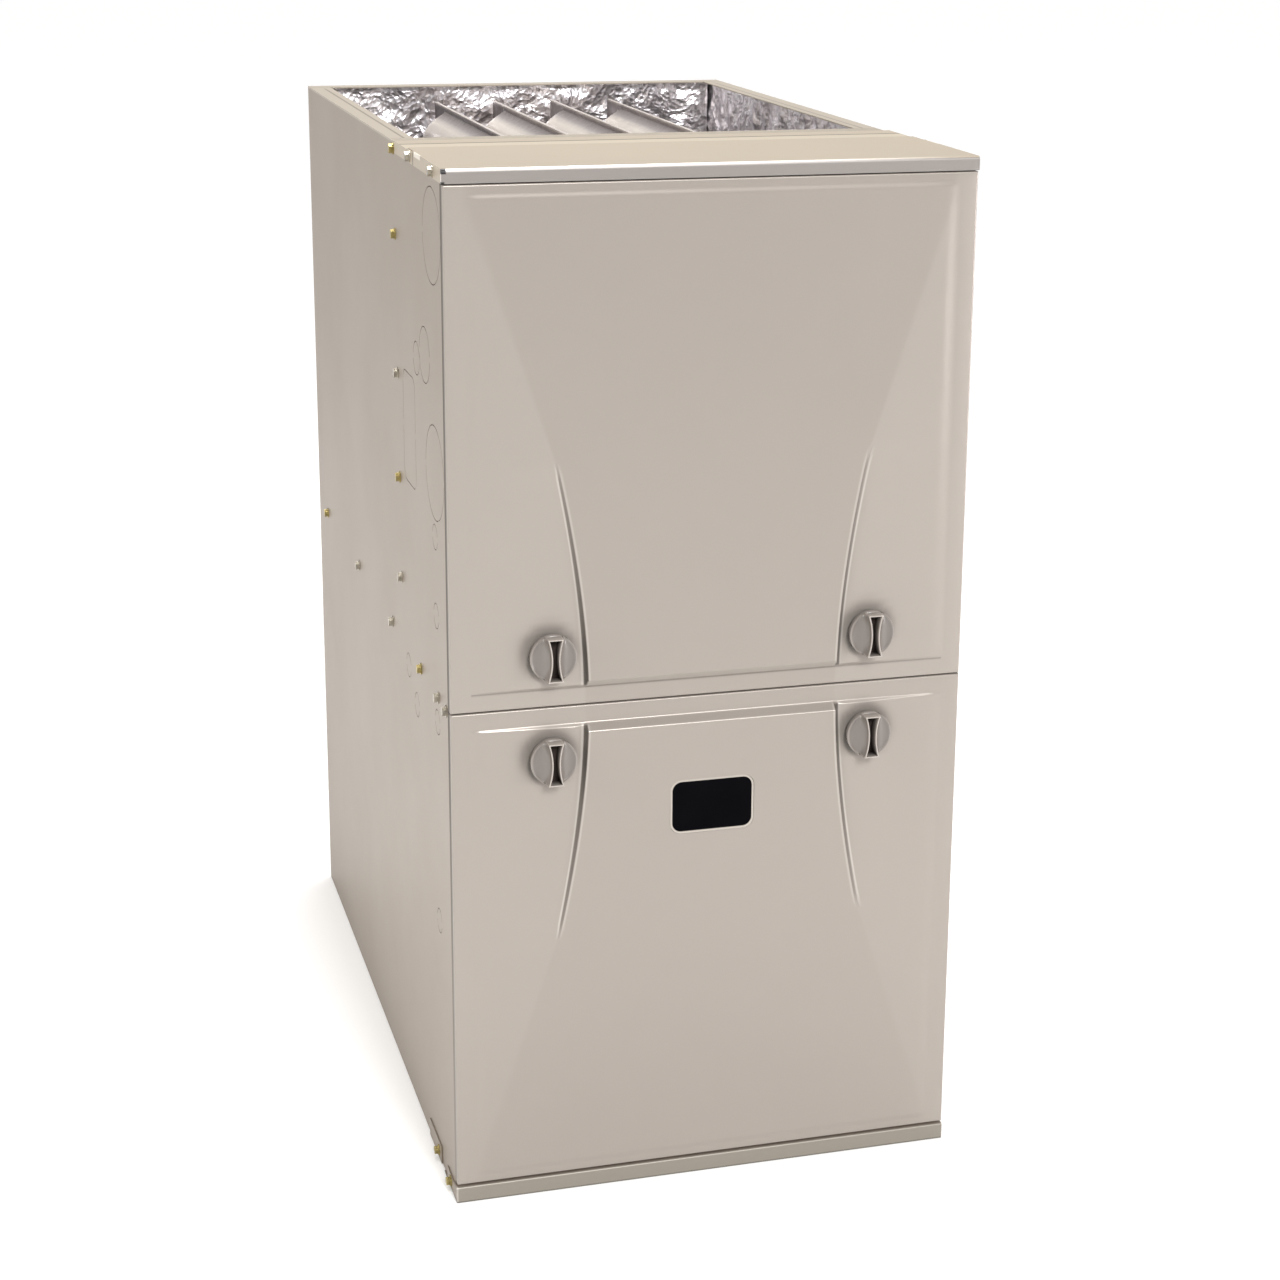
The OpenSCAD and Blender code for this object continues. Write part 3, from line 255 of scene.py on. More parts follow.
def blend_colour(tree, share, a, b):
    """Colour a where share is 0, colour b where it is 1, and a mix between."""
    made = tree.nodes.new("ShaderNodeMix")
    made.data_type = "RGBA"
    feed(tree, share, made.inputs[0])
    feed(tree, a, made.inputs[6])
    feed(tree, b, made.inputs[7])
    return made.outputs[2]


def shaded(tree, colour, first, second):
    """A colour times one plus two swings of its tone."""
    made = tree.nodes.new("ShaderNodeVectorMath")
    made.operation = "SCALE"
    tree.links.new(colour, made.inputs[0])
    tree.links.new(maths(tree, "ADD", 1.0, maths(tree, "ADD", first, second)), made.inputs["Scale"])
    return made.outputs[0]


def stretched(tree, coords, scale):
    """Coordinates scaled along each axis, for streaks."""
    made = tree.nodes.new("ShaderNodeMapping")
    tree.links.new(coords, made.inputs["Vector"])
    made.inputs["Scale"].default_value = scale
    return made.outputs["Vector"]


def warped(tree, coords, bend, reach):
    """Coordinates moved along their diagonal by a bend from 0 to 1, times a reach in metres."""
    made = tree.nodes.new("ShaderNodeVectorMath")
    made.operation = "MULTIPLY_ADD"
    tree.links.new(bend, made.inputs[0])
    made.inputs[1].default_value = (reach, reach, reach)
    tree.links.new(coords, made.inputs[2])
    return made.outputs[0]


# ---------- shared surface effects ----------

def make_paint_effect():
    """Baked enamel: broad mottling of the colour, faint smudges in the gloss, and orange peel."""
    tree, ins, outs = socket_group(
        "baked_enamel", ("Coords", "Colour", "Gloss", "Mottle", "Peel"), SURFACE)
    coords = ins["Coords"]
    broad = maths(tree, "MULTIPLY", noise(tree, coords, 3.2, detail=2.0), 0.6)
    cloud = maths(tree, "MULTIPLY", noise(tree, coords, 19.0, rough=0.6), 0.4)
    mottle = swing(tree, maths(tree, "ADD", broad, cloud), ins["Mottle"])
    speck = swing(tree, noise(tree, coords, 1500.0, detail=1.0), 0.05)
    smudge = swing(tree, noise(tree, coords, 7.0, rough=0.55), 0.1, middle=0.4)
    give(tree, outs,
         Colour=shaded(tree, ins["Colour"], mottle, speck),
         Roughness=maths(tree, "ADD", ins["Gloss"], smudge),
         Height=noise(tree, coords, ins["Peel"], detail=1.0))
    return tree


def make_spangle_effect():
    """Zinc spangle: irregular crystals a few millimetres across, each with its own tone and gloss."""
    tree, ins, outs = socket_group(
        "zinc_spangle", ("Coords", "Colour", "Crystals", "Contrast", "Gloss"), SURFACE)
    coords = ins["Coords"]
    bent = warped(tree, coords, noise(tree, coords, 60.0, detail=2.0), 0.012)
    tone = tree.nodes.new("ShaderNodeSeparateColor")
    tree.links.new(random_cells(tree, bent, ins["Crystals"]).outputs["Color"], tone.inputs[0])
    crystal = swing(tree, tone.outputs[0], ins["Contrast"])
    stain = ramp(tree, noise(tree, coords, 9.0, detail=4.0, rough=0.6), 0.3, 0.75, 0.05, -0.09)
    dull = maths(tree, "MULTIPLY", tone.outputs[1], 0.16)
    give(tree, outs,
         Colour=shaded(tree, ins["Colour"], crystal, stain),
         Roughness=maths(tree, "ADD", ins["Gloss"], dull),
         Height=noise(tree, coords, 700.0, detail=2.0))
    return tree


def make_crumple_effect():
    """Crumpled foil: creases from the distances to random cells at three sizes, bent by noise."""
    tree, ins, outs = socket_group("foil_crumple", ("Coords", "Creases"), ("Height", "Crease"))
    bent = warped(tree, ins["Coords"], noise(tree, ins["Coords"], 22.0), 0.03)
    total = None
    for size, share in ((0.55, 1.0), (1.3, 0.55), (3.1, 0.28)):
        cells = random_cells(tree, bent, maths(tree, "MULTIPLY", ins["Creases"], size))
        part = maths(tree, "MULTIPLY", cells.outputs["Distance"], share)
        total = part if total is None else maths(tree, "ADD", total, part)
    give(tree, outs, Height=total, Crease=ramp(tree, total, 0.5, 1.3))
    return tree


def make_brush_effect():
    """Fine lines along one axis, from noise squeezed across it."""
    tree, ins, outs = socket_group("drawn_lines", ("Coords", "Colour", "Gloss", "Depth"), SURFACE)
    coords = ins["Coords"]
    lines = noise(tree, stretched(tree, coords, (1.0, 40.0, 40.0)), 30.0, rough=0.6)
    cloud = noise(tree, coords, 24.0)
    streak = swing(tree, lines, ins["Depth"])
    dull = maths(tree, "MULTIPLY", cloud, 0.15)
    give(tree, outs,
         Colour=shaded(tree, ins["Colour"], streak, swing(tree, cloud, 0.12)),
         Roughness=maths(tree, "ADD", ins["Gloss"], dull),
         Height=lines)
    return tree


ENAMEL = make_paint_effect()
SPANGLE = make_spangle_effect()
CRUMPLE = make_crumple_effect()
DRAWN = make_brush_effect()


# ---------- materials ----------

FINE_BUMP = 0.0002
FOIL_BUMP = 0.0038
GLOSS_LOSS = 0.7
FAR = 9.0  # metres, beyond every part: the open side of a patch


def rgb(r, g, b):
    """A solid colour in linear light."""
    return (r, g, b, 1.0)


def material(name, effect, inputs, bump, bump_size=FINE_BUMP, **shader_values):
    """A material whose colour, roughness and height come from an effect group. Constants go on the
    shader's own sockets."""
    made = bpy.data.materials.new(name)
    made.use_nodes = True
    tree = made.node_tree
    shader = tree.nodes["Principled BSDF"]
    group = tree.nodes.new("ShaderNodeGroup")
    group.node_tree = effect
    tree.links.new(tree.nodes.new("ShaderNodeTexCoord").outputs["Object"], group.inputs["Coords"])
    for label, value in inputs.items():
        group.inputs[label].default_value = value
    for label, target in (("Colour", "Base Color"), ("Roughness", "Roughness")):
        if label in group.outputs:
            tree.links.new(group.outputs[label], shader.inputs[target])
    lift = tree.nodes.new("ShaderNodeBump")
    lift.inputs["Strength"].default_value = bump
    lift.inputs["Distance"].default_value = bump_size
    tree.links.new(group.outputs["Height"], lift.inputs["Height"])
    tree.links.new(lift.outputs["Normal"], shader.inputs["Normal"])
    for label, value in shader_values.items():
        shader.inputs[label].default_value = value
    return made


def enamel(name, colour, gloss=0.4, mottle=0.05, peel=900.0, bump=0.12, **values):
    """Baked enamel, moulded plastic or anything else with a coat that is nearly even."""
    return material(name, ENAMEL, {"Colour": colour, "Gloss": gloss, "Mottle": mottle, "Peel": peel},
                    bump, **values)


def zinc(name, colour, crystals=110.0, contrast=0.25, gloss=0.38, metallic=0.9):
    """Zinc-coated or aluminised sheet, and plated steel."""
    return material(name, SPANGLE, {"Colour": colour, "Crystals": crystals, "Contrast": contrast,
                                    "Gloss": gloss}, 0.08, Metallic=metallic)


def drawn(name, colour, gloss, depth=0.2):
    """Bare metal, rolled or drawn."""
    return material(name, DRAWN, {"Colour": colour, "Gloss": gloss, "Depth": depth}, 0.1,
                    Metallic=1.0)


def workings(made):
    """A material's node tree, its shader and its effect group's outputs."""
    tree = made.node_tree
    group = next(n for n in tree.nodes if n.type == "GROUP")
    return tree, tree.nodes["Principled BSDF"], group.outputs


def foil_material():
    """Aluminium foil, greyer along its creases."""
    made = material("foil_facing", CRUMPLE, {"Creases": 66.0}, 0.85, FOIL_BUMP,
                    Metallic=1.0, Roughness=0.31)
    tree, shader, effect = workings(made)
    tint = blend_colour(tree, effect["Crease"], rgb(0.95, 0.92, 0.94), rgb(0.66, 0.63, 0.66))
    tree.links.new(tint, shader.inputs["Base Color"])
    return made


def glass_material():
    """Dark tinted glass: nearly black, glossy, with faint smudges in its gloss."""
    made = bpy.data.materials.new("smoked_glass")
    made.use_nodes = True
    tree = made.node_tree
    shader = tree.nodes["Principled BSDF"]
    shader.inputs["Specular IOR Level"].default_value = 0.01
    coords = tree.nodes.new("ShaderNodeTexCoord").outputs["Object"]
    smear = noise(tree, coords, 40.0, detail=4.0, rough=0.6)
    tint = blend_colour(tree, smear, rgb(0.0015, 0.0015, 0.002), rgb(0.003, 0.003, 0.004))
    tree.links.new(tint, shader.inputs["Base Color"])
    tree.links.new(ramp(tree, smear, 0.3, 0.7, 0.04, 0.12), shader.inputs["Roughness"])
    return made


def marked(made, marks, dull=None):
    """Blends a material's colour towards another one where a named attribute of the mesh is high,
    and takes its gloss away where the attribute named by dull is high."""
    tree, shader, effect = workings(made)
    shade = effect["Colour"]
    for label, colour in marks.items():
        layer = tree.nodes.new("ShaderNodeAttribute")
        layer.attribute_name = label
        shade = blend_colour(tree, layer.outputs["Fac"], shade, colour)
        if label == dull:
            loss = maths(tree, "MULTIPLY", layer.outputs["Fac"], GLOSS_LOSS)
            rough = maths(tree, "ADD", effect["Roughness"], loss, clamp=True)
            tree.links.new(rough, shader.inputs["Roughness"])
    tree.links.new(shade, shader.inputs["Base Color"])
    return made


def patched(made, patches):
    """Blends a material's colour towards others inside soft-edged boxes. A patch gives a colour and,
    for x, y, z or w, the distance from the middle plane, where it starts and ends and how far it
    fades beyond that, in metres."""
    tree = made.node_tree
    shader = tree.nodes["Principled BSDF"]
    shade = shader.inputs["Base Color"].links[0].from_socket
    place = tree.nodes.new("ShaderNodeSeparateXYZ")
    tree.links.new(tree.nodes.new("ShaderNodeTexCoord").outputs["Object"], place.inputs[0])
    lines = dict(zip("xyz", place.outputs))
    lines["w"] = maths(tree, "ABSOLUTE", place.outputs[0])
    for colour, limits in patches:
        share = 1.0
        for axis, (low, high, soft) in limits.items():
            rise = ramp(tree, lines[axis], low - soft, low)
            fall = ramp(tree, lines[axis], high, high + soft, 1.0, 0.0)
            share = maths(tree, "MULTIPLY", maths(tree, "MULTIPLY", share, rise), fall)
        shade = blend_colour(tree, share, shade, colour)
    tree.links.new(shade, shader.inputs["Base Color"])
    return made


# the cabinet paint's lighter tone where it faces up: painted light
FLANGE_LIT_TONE = rgb(0.375, 0.33, 0.272)
# painted shade along folds
FOLD_SHADE = rgb(0.16, 0.135, 0.105)


def top_material():
    """The top sheets' paint: a greyer lip with a painted highlight along its bend on the left, two
    folded hems across the top drawn as lines of painted shade with a pale sheet between, the side
    skirts' slit darkened with painted shade and a painted highlight on the skirts where they lap, and
    the lip's notched corner and a spot at its foot painted near black as shade."""
    low, high = span("top_closure")
    x0, y0, z0 = low
    side, top = high[0] - 0.0008, high[2]
    flat = (top - 0.0012, FAR, 0.0004)
    crown = (top - 0.0034, FAR, 0.0008)
    skirt = (side, FAR, 0.0004)
    lip = (-FAR, y0 + 0.0034, 0.0008)
    lip_face = (-FAR, y0 + 0.0006, 0.0006)
    lip_bend = (y0 + 0.0008, y0 + 0.0022, 0.0006)
    left_run = (-FAR, -0.02, 0.23)
    front_hem = (y0 + 0.15, y0 + 0.153, 0.001)
    sheet = (y0 + 0.155, y0 + 0.182, 0.003)
    rear_hem = (y0 + 0.185, y0 + 0.188, 0.001)
    slit = (y0 + 0.123, y0 + 0.1255, 0.0006)
    skirt_highlight = (y0 + 0.092, y0 + 0.118, 0.002)
    notch = (-FAR, x0 + 0.0034, 0.001)
    notch_side = (-FAR, x0 + 0.002, 0.001)
    foot = (-FAR, z0 + 0.0012, 0.0008)
    # dark lines of painted shade at the hems' steps and in the skirts' slit
    seam_shade = rgb(0.14, 0.117, 0.09)
    return patched(enamel("top_paint", rgb(0.4, 0.339, 0.262), 0.38, Metallic=0.3), [
        (rgb(0.235, 0.215, 0.2), {"y": lip_face}),
        # painted highlight along the lip's bend, fading out to the right
        (rgb(0.95, 0.92, 0.9), {"y": lip_bend, "x": left_run}),
        (seam_shade, {"y": front_hem, "z": flat}),
        (rgb(0.47, 0.41, 0.32), {"y": sheet, "z": flat}),
        (seam_shade, {"y": rear_hem, "z": flat}),
        (seam_shade, {"y": slit, "w": skirt}),
        # painted highlight on the skirts where they lap
        (rgb(0.7, 0.65, 0.57), {"y": skirt_highlight, "w": skirt, "z": crown}),
        # the notch and a spot at its foot, painted near black as shade
        (rgb(0.006, 0.005, 0.005), {"x": notch, "y": lip, "z": crown}),
        (rgb(0.02, 0.018, 0.016), {"x": notch_side, "y": lip, "z": foot}),
    ])


def casing_material():
    """The wrapper's paint, with a lighter tone of painted light on the turned-in top flanges where
    they face up, and the flanges' fold lines darkened with painted shade along the sides and across
    the back corners."""
    low, high = span("casing")
    flat = (high[2] - 0.0015, FAR, 0.0005)
    side_fold = {"z": flat, "w": (high[0] - 0.0132, high[0] - 0.0122, 0.0006),
                 "y": (low[1] + 0.18, high[1] - 0.045, 0.02)}
    corner_fold = {"z": flat, "w": (high[0] - 0.0206, high[0], 0.0004),
                   "y": (high[1] - 0.0216, high[1] - 0.0206, 0.0005)}
    # painted light on the flanges' tops, painted shade along their folds
    return patched(FINISH["cabinet_paint"].copy(), [
        (FLANGE_LIT_TONE, {"z": flat}), (FOLD_SHADE, side_fold), (FOLD_SHADE, corner_fold)])


def panel_material():
    """The cell panel: bare sheet, with the cabinet's paint on its top flange, in the lighter tone of
    painted light that the wrapper's flanges have.
    """
    top = span("cell_panel")[1][2]
    return patched(FINISH["aluminised"].copy(), [(FLANGE_LIT_TONE, {"z": (top - 0.0016, FAR, 0.0004)})])


def rail_material():
    """The base rail's paint: greyer on the front, with a painted highlight on its left corner and
    painted shade along its lower edge.
    """
    low = span("base_rail")[0]
    front = (-FAR, low[1] + 0.0012, 0.0004)
    left = (-FAR, low[0] + 0.001, 0.0008)
    foot = (-FAR, low[2] + 0.0006, 0.0006)
    return patched(FINISH["cabinet_paint"].copy(), [
        (rgb(0.222, 0.2, 0.168), {"y": front}),
        # painted highlight on the left corner
        (rgb(0.34, 0.315, 0.28), {"x": left, "y": front}),
        # painted shade along the lower edge
        (rgb(0.11, 0.098, 0.08), {"z": foot}),
    ])


# A colour, then for enamel its gloss, mottle, peel per metre and bump, and for drawn metal its
# gloss and the depth of its lines.
PLAIN_COATS = {
    "black_plastic": (rgb(0.022, 0.022, 0.024), 0.45, 0.3, 1600.0, 0.2),
    "dark_steel": (rgb(0.045, 0.045, 0.048), 0.35, 0.25, 700.0, 0.15),
    "ceramic": (rgb(0.82, 0.8, 0.74), 0.3, 0.08, 900.0, 0.1),
    "red_plastic": (rgb(0.42, 0.03, 0.02), 0.35, 0.15, 1400.0, 0.15),
    "grey_plastic": (rgb(0.13, 0.13, 0.14), 0.42, 0.2, 1500.0, 0.2),
    "white_plastic": (rgb(0.74, 0.73, 0.69), 0.4, 0.08, 1400.0, 0.15),
    "board": (rgb(0.02, 0.13, 0.055), 0.3, 0.3, 500.0, 0.15),
    "gasket_plastic": (rgb(0.36, 0.325, 0.285), 0.35, 0.08, 1300.0, 0.1),
}
DRAWN_METALS = {
    "coil_metal": (rgb(0.72, 0.74, 0.76), 0.32, 0.15),
    "brass": (rgb(0.78, 0.55, 0.22), 0.25),
    "bare_steel": (rgb(0.55, 0.55, 0.57), 0.25),
    "can_metal": (rgb(0.72, 0.73, 0.75), 0.28),
}


def make_finishes():
    """The finish of every slot in the record."""
    door = enamel("door_paint", rgb(0.29, 0.258, 0.229), gloss=0.3, Metallic=0.3)
    knob = enamel("knob_plastic", rgb(0.165, 0.146, 0.132), 0.2, 0.06, 1400.0, 0.08)
    cell = zinc("aluminised", rgb(0.4, 0.362, 0.355), 260.0, 0.12, 0.4, 0.7)
    finish = {
        "cabinet_paint": enamel("cabinet_paint", rgb(0.258, 0.212, 0.171), mottle=0.03, Metallic=0.3),
        "top_paint": top_material(),
        # the doors' marks: painted shadow and painted highlight
        "door_paint": marked(door, {"shadow": rgb(0.045, 0.037, 0.03),
                                    "bright": rgb(0.8, 0.76, 0.7)}, "shadow"),
        # the knob's marks: painted highlight on its edges, painted shade in its slot
        "knob_plastic": marked(knob, {"edge_highlight": rgb(0.35, 0.315, 0.285),
                                      "hollow": rgb(0.03, 0.02, 0.016)}, "hollow"),
        "galvanised": zinc("galvanised", rgb(0.62, 0.63, 0.64)),
        # the heat cells' marks: painted shade and painted highlight
        "aluminised": marked(cell, {"shadow": rgb(0.12, 0.1, 0.1), "bright": rgb(0.85, 0.79, 0.72)}),
        "foil_blanket": foil_material(),
        "valve_casting": enamel("valve_casting", rgb(0.42, 0.43, 0.45), 0.4, 0.15, 1100.0, 0.5,
                                Metallic=0.85),
        "zinc": zinc("yellow_zinc", rgb(0.4, 0.33, 0.14), 400.0, 0.3, 0.3, 1.0),
        "bright_zinc": zinc("bright_zinc", rgb(0.4, 0.37, 0.31), 400.0, 0.3, 0.3, 1.0),
        "smoked_glass": glass_material(),
    }
    finish.update({name: enamel(name, *values) for name, values in PLAIN_COATS.items()})
    finish.update({name: drawn(name, *values) for name, values in DRAWN_METALS.items()})
    return finish


FINISH = make_finishes()


def dress_nodes():
    """Every CAD node takes the finish of its record slot, or its own variant of that finish."""
    variants = {"casing": casing_material(), "cell_panel": panel_material(),
                "base_rail": rail_material()}
    for entry in frame["record"]["subparts"]:
        mesh = NODES[entry["node"]].data
        mesh.materials.clear()
        mesh.materials.append(variants.get(entry["node"], FINISH[entry["material_slot"]]))


# ---------- mesh helpers ----------

WELD = 2e-6  # metres between points that become one
AROUND = 40  # points round a circle


def grid_quads(rows, cols):
    """The point numbers of a grid, counted along its rows, and the corners of each of its cells."""
    index = np.arange(rows * cols).reshape(rows, cols)
    quads = np.stack([index[:-1, :-1], index[:-1, 1:], index[1:, 1:], index[1:, :-1]], -1)
    return index, quads.reshape(-1, 4)


def mirrored(values, sign=1.0):
    """A grid's columns from the middle outwards, repeated on the other side with a sign."""
    return np.hstack([sign * values[:, :0:-1], values])


def quad_mesh(name, points, quads):
    """A mesh from points and the four corners of each face."""
    mesh = bpy.data.meshes.new(name)
    mesh.from_pydata(points.reshape(-1, 3).tolist(), [], quads.tolist())
    return mesh


def grid_mesh(name, points):
    """A mesh of quads over a grid of points with shape (rows, columns, 3)."""
    return quad_mesh(name, points, grid_quads(*points.shape[:2])[1])


def closed_pair(name, near, far):
    """A closed mesh from two grids of the same shape, joined along their borders."""
    index, face = grid_quads(*near.shape[:2])
    loop = np.concatenate([index[0, :-1], index[:-1, -1], index[-1, :0:-1], index[:0:-1, 0]])
    after = np.roll(loop, -1)
    rim = np.stack([after, loop, loop + index.size, after + index.size], -1)
    quads = np.vstack([face, face[:, ::-1] + index.size, rim])
    mesh = quad_mesh(name, np.vstack([near.reshape(-1, 3), far.reshape(-1, 3)]), quads)
    tidy_mesh(mesh, 1e-6)
    return mesh


def tidy_mesh(mesh, weld=WELD, facing=None):
    """Welds doubles, drops empty faces, and turns the faces outwards: on a closed shell by
    recalculation, on an open one so that most of its area faces the given direction."""
    work = bmesh.new()
    work.from_mesh(mesh)
    bmesh.ops.remove_doubles(work, verts=work.verts, dist=weld)
    bmesh.ops.dissolve_degenerate(work, edges=work.edges, dist=weld * 0.5)
    bmesh.ops.recalc_face_normals(work, faces=work.faces)
    if facing is not None:
        along = sum(f.calc_area() * f.normal.dot(Vector(facing)) for f in work.faces)
        if along < 0:
            bmesh.ops.reverse_faces(work, faces=work.faces)
    work.to_mesh(mesh)
    work.free()


def smooth(mesh):
    """Shades every face of a mesh smoothly."""
    mesh.polygons.foreach_set("use_smooth", np.ones(len(mesh.polygons), dtype=bool))


def crisp(made, degrees):
    """Keeps edges sharper than an angle sharp, on a smooth mesh."""
    made.data.set_sharp_from_angle(angle=math.radians(degrees))


def piece(name, mesh, body, slot):
    """Puts a finished mesh in the scene on its body, with its slot's finish, in place of the CAD
    node of the same name."""
    smooth(mesh)
    mesh.materials.append(FINISH[slot])
    made = bpy.data.objects.new(name, mesh)
    bpy.context.scene.collection.objects.link(made)
    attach(made, body)
    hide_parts(name)
    return made


def baked(made):
    """Applies a piece's modifiers to its mesh."""
    graph = bpy.context.evaluated_depsgraph_get()
    mesh = bpy.data.meshes.new_from_object(made.evaluated_get(graph))
    old = made.data
    made.modifiers.clear()
    made.data = mesh
    bpy.data.meshes.remove(old)


def prism(outline, y0, y1):
    """A closed prism along Y from an outline of (x, z) points."""
    points = np.zeros((4, len(outline) + 1, 3))
    ring = np.vstack([outline, outline[:1]])
    middle = outline.mean(axis=0)
    for row, (place, y) in enumerate(((middle, y0), (ring, y0), (ring, y1), (middle, y1))):
        points[row, :, 0] = place[..., 0]
        points[row, :, 2] = place[..., 1]
        points[row, :, 1] = y
    mesh = grid_mesh("prism", points)
    tidy_mesh(mesh, 1e-7)
    return mesh


def disc_outline(x, z, r):
    """A circle, as (x, z) points."""
    a = np.linspace(0, 2 * math.pi, AROUND, endpoint=False)
    return np.stack([x + r * np.cos(a), z + r * np.sin(a)], 1)


def rounded_outline(x, z, w, h, r, count=8):
    """A rectangle with round corners, as (x, z) points anticlockwise."""
    points = []
    for cx, cz, start in ((w / 2 - r, h / 2 - r, 0), (-w / 2 + r, h / 2 - r, 90),
                          (-w / 2 + r, -h / 2 + r, 180), (w / 2 - r, -h / 2 + r, 270)):
        a = np.radians(start + np.linspace(0, 90, count))
        points.append(np.stack([x + cx + r * np.cos(a), z + cz + r * np.sin(a)], 1))
    return np.vstack(points)


def cut(made, cutters):
    """Cuts meshes out of a piece, then applies its modifiers."""
    helpers = []
    for mesh in cutters:
        helper = bpy.data.objects.new("cutter", mesh)
        bpy.context.scene.collection.objects.link(helper)
        helpers.append(helper)
        modifier = made.modifiers.new("hole", "BOOLEAN")
        modifier.operation = "DIFFERENCE"
        modifier.solver = "EXACT"
        modifier.object = helper
    baked(made)
    for helper in helpers:
        mesh = helper.data
        bpy.data.objects.remove(helper)
        bpy.data.meshes.remove(mesh)


def points_of(made):
    """A piece's points in millimetres."""
    points = np.zeros(len(made.data.vertices) * 3, dtype=np.float32)
    made.data.vertices.foreach_get("co", points)
    return points.reshape(-1, 3) / MM


def mark(made, name, values):
    """Stores a value for each of a piece's points."""
    layer = made.data.attributes.new(name, "FLOAT", "POINT")
    layer.data.foreach_set("value", np.ascontiguousarray(values, dtype=np.float32))


def ease(t):
    """0 below 0, 1 above 1, and a smooth rise between."""
    t = np.clip(t, 0.0, 1.0)
    return t * t * (3.0 - 2.0 * t)


def slope(t, r):
    """0 below 0, 1 above 1, and straight between, with rounded creases of half width r."""
    low = np.clip(t + r, 0.0, 2.0 * r) ** 2 / (4.0 * r) + np.clip(t - r, 0.0, 1.0 - 2.0 * r)
    high = np.clip(t - 1.0 + r, 0.0, 2.0 * r)
    return low + high - high ** 2 / (4.0 * r)


# ---------- pressed doors ----------

# In millimetres. u is the distance from a door's middle line and v the distance from its knob end;
# heights are over the flat border. A step parts the centre panel from the pocket on each side of
# it, and runs out at an apex.
DOOR_DEPTH = 12.0
SHEET_T = 1.0
EDGE_R = 1.3
RETURN_BEND = 0.55 * DOOR_DEPTH
BORDER = 16.25
FIELD_NEAR = 15.0
FIELD_SIDE = 206.0
FIELD_RISE = 0.85
STEP_SIDE = 203.0
POCKET_U = 109.3
APEX_U = 133.5
APEX_V = 204.0
STEP_H = 4.4
STEP_TAIL = 0.8
BOW_SLOPE, BOW_CURVE = 0.0088, 1.45e-5
FURROW_DEPTH, FURROW_OUT, FURROW_W = 0.22, 2.4, 2.6
KNOB_X = 138.25
KNOB_UP = 44.5
KNOB_R = 19.8
SHAFT_HOLE_R = 4.8
WINDOW_R = 9.9
WINDOW_GAP = 0.5
CUT_AHEAD, CUT_BEHIND = 12.0, 14.0
DOOR_CREASE = 50  # degrees

# Painted shadow and painted highlight on the paint: places in millimetres, and strengths from 0 to 1.
RING_LEFT, RING_RISE, RING_REACH = 2.5, 3.0, 16.0
RETURN_TONE, RETURN_FADE = 0.74, 0.42
SIDE_FROM = 210.0
FIELD_TO = 205.0
UPPER_GLOW, LOWER_GLOW = 0.036, 0.018
STRIP_TONE, STRIP_GAIN = 0.26, 0.62
INNER_LINE, OUTER_LINE, LINE_W = 0.2, 0.36, 0.6
RING_TONE, RING_BLUR = 0.5, 5.5
FOOT_TONE, SLANT_TONE = 0.5, 0.2


def edge_profile():
    """A pan's return and rounded edge from the back: distance in from the outside, and depth."""
    angles = np.radians([90.0, 67.5, 45.0, 22.5])
    inset = np.concatenate([[0.0, 0.0], EDGE_R - EDGE_R * np.sin(angles)])
    depth = np.concatenate([[DOOR_DEPTH, RETURN_BEND], EDGE_R - EDGE_R * np.cos(angles)])
    return inset, depth


def step_line(v, far):
    """Half width of the centre panel at a distance v from the knob end: it widens slowly at first,
    then runs on straight to the far corner of the field."""
    share = np.clip((v - FIELD_NEAR) / (APEX_V - FIELD_NEAR), 0, 1)
    curved = POCKET_U + (APEX_U - POCKET_U) * share ** 1.7
    straight = APEX_U + (v - APEX_V) * (FIELD_SIDE - APEX_U) / (far - APEX_V)
    return np.minimum(np.where(v > APEX_V, straight, curved), STEP_SIDE)


def step_gap(v):
    """How far a pocket lies below the centre panel at their step: most of it runs out slowly towards
    the apex, and a short tail runs out there."""
    slow = (STEP_H - STEP_TAIL) * np.clip(1.0 - v / APEX_V, 0.0, 1.0) ** 0.8
    return slow + STEP_TAIL * ease((APEX_V - v) / 14.0)


def step_width(gap):
    """How wide the slanted wall of a step is, by its height."""
    return 1.5 + 1.3 * gap / STEP_H


def door_relief(u, v, half, length):
    """Height of the pressed relief in millimetres over the flat border, at |u| from the middle and v
    from the knob end. The centre panel bows towards the knob end; each pocket beside it rises from
    the border to the panel's side less a step that runs out at the apex, with a soft furrow along
    the step's foot."""
    far = length - BORDER / 2
    side = half - BORDER
    drop = np.clip(far - v, 0.0, None)
    panel = FIELD_RISE + BOW_SLOPE * drop + BOW_CURVE * drop ** 2
    line = step_line(v, far)
    gap = step_gap(v)
    share = np.clip((side - u) / np.maximum(side - line, 1.0), 0.0, 1.0)
    pocket = FIELD_RISE + (panel - gap - FIELD_RISE) * share
    furrow = FURROW_DEPTH * gap * np.exp(-((u - line - FURROW_OUT) / FURROW_W) ** 2)
    height = pocket - furrow + (panel - pocket + furrow) * ease((line - u) / step_width(gap) + 0.5)
    end_run = height * 0.85 + 0.9
    end = slope((v - FIELD_NEAR) / end_run, 0.14)
    rim = ease((side + 2.0 - u) / 13.0)
    top = ease((far + 2.0 - v) / 6.0)
    return height * end * rim * top


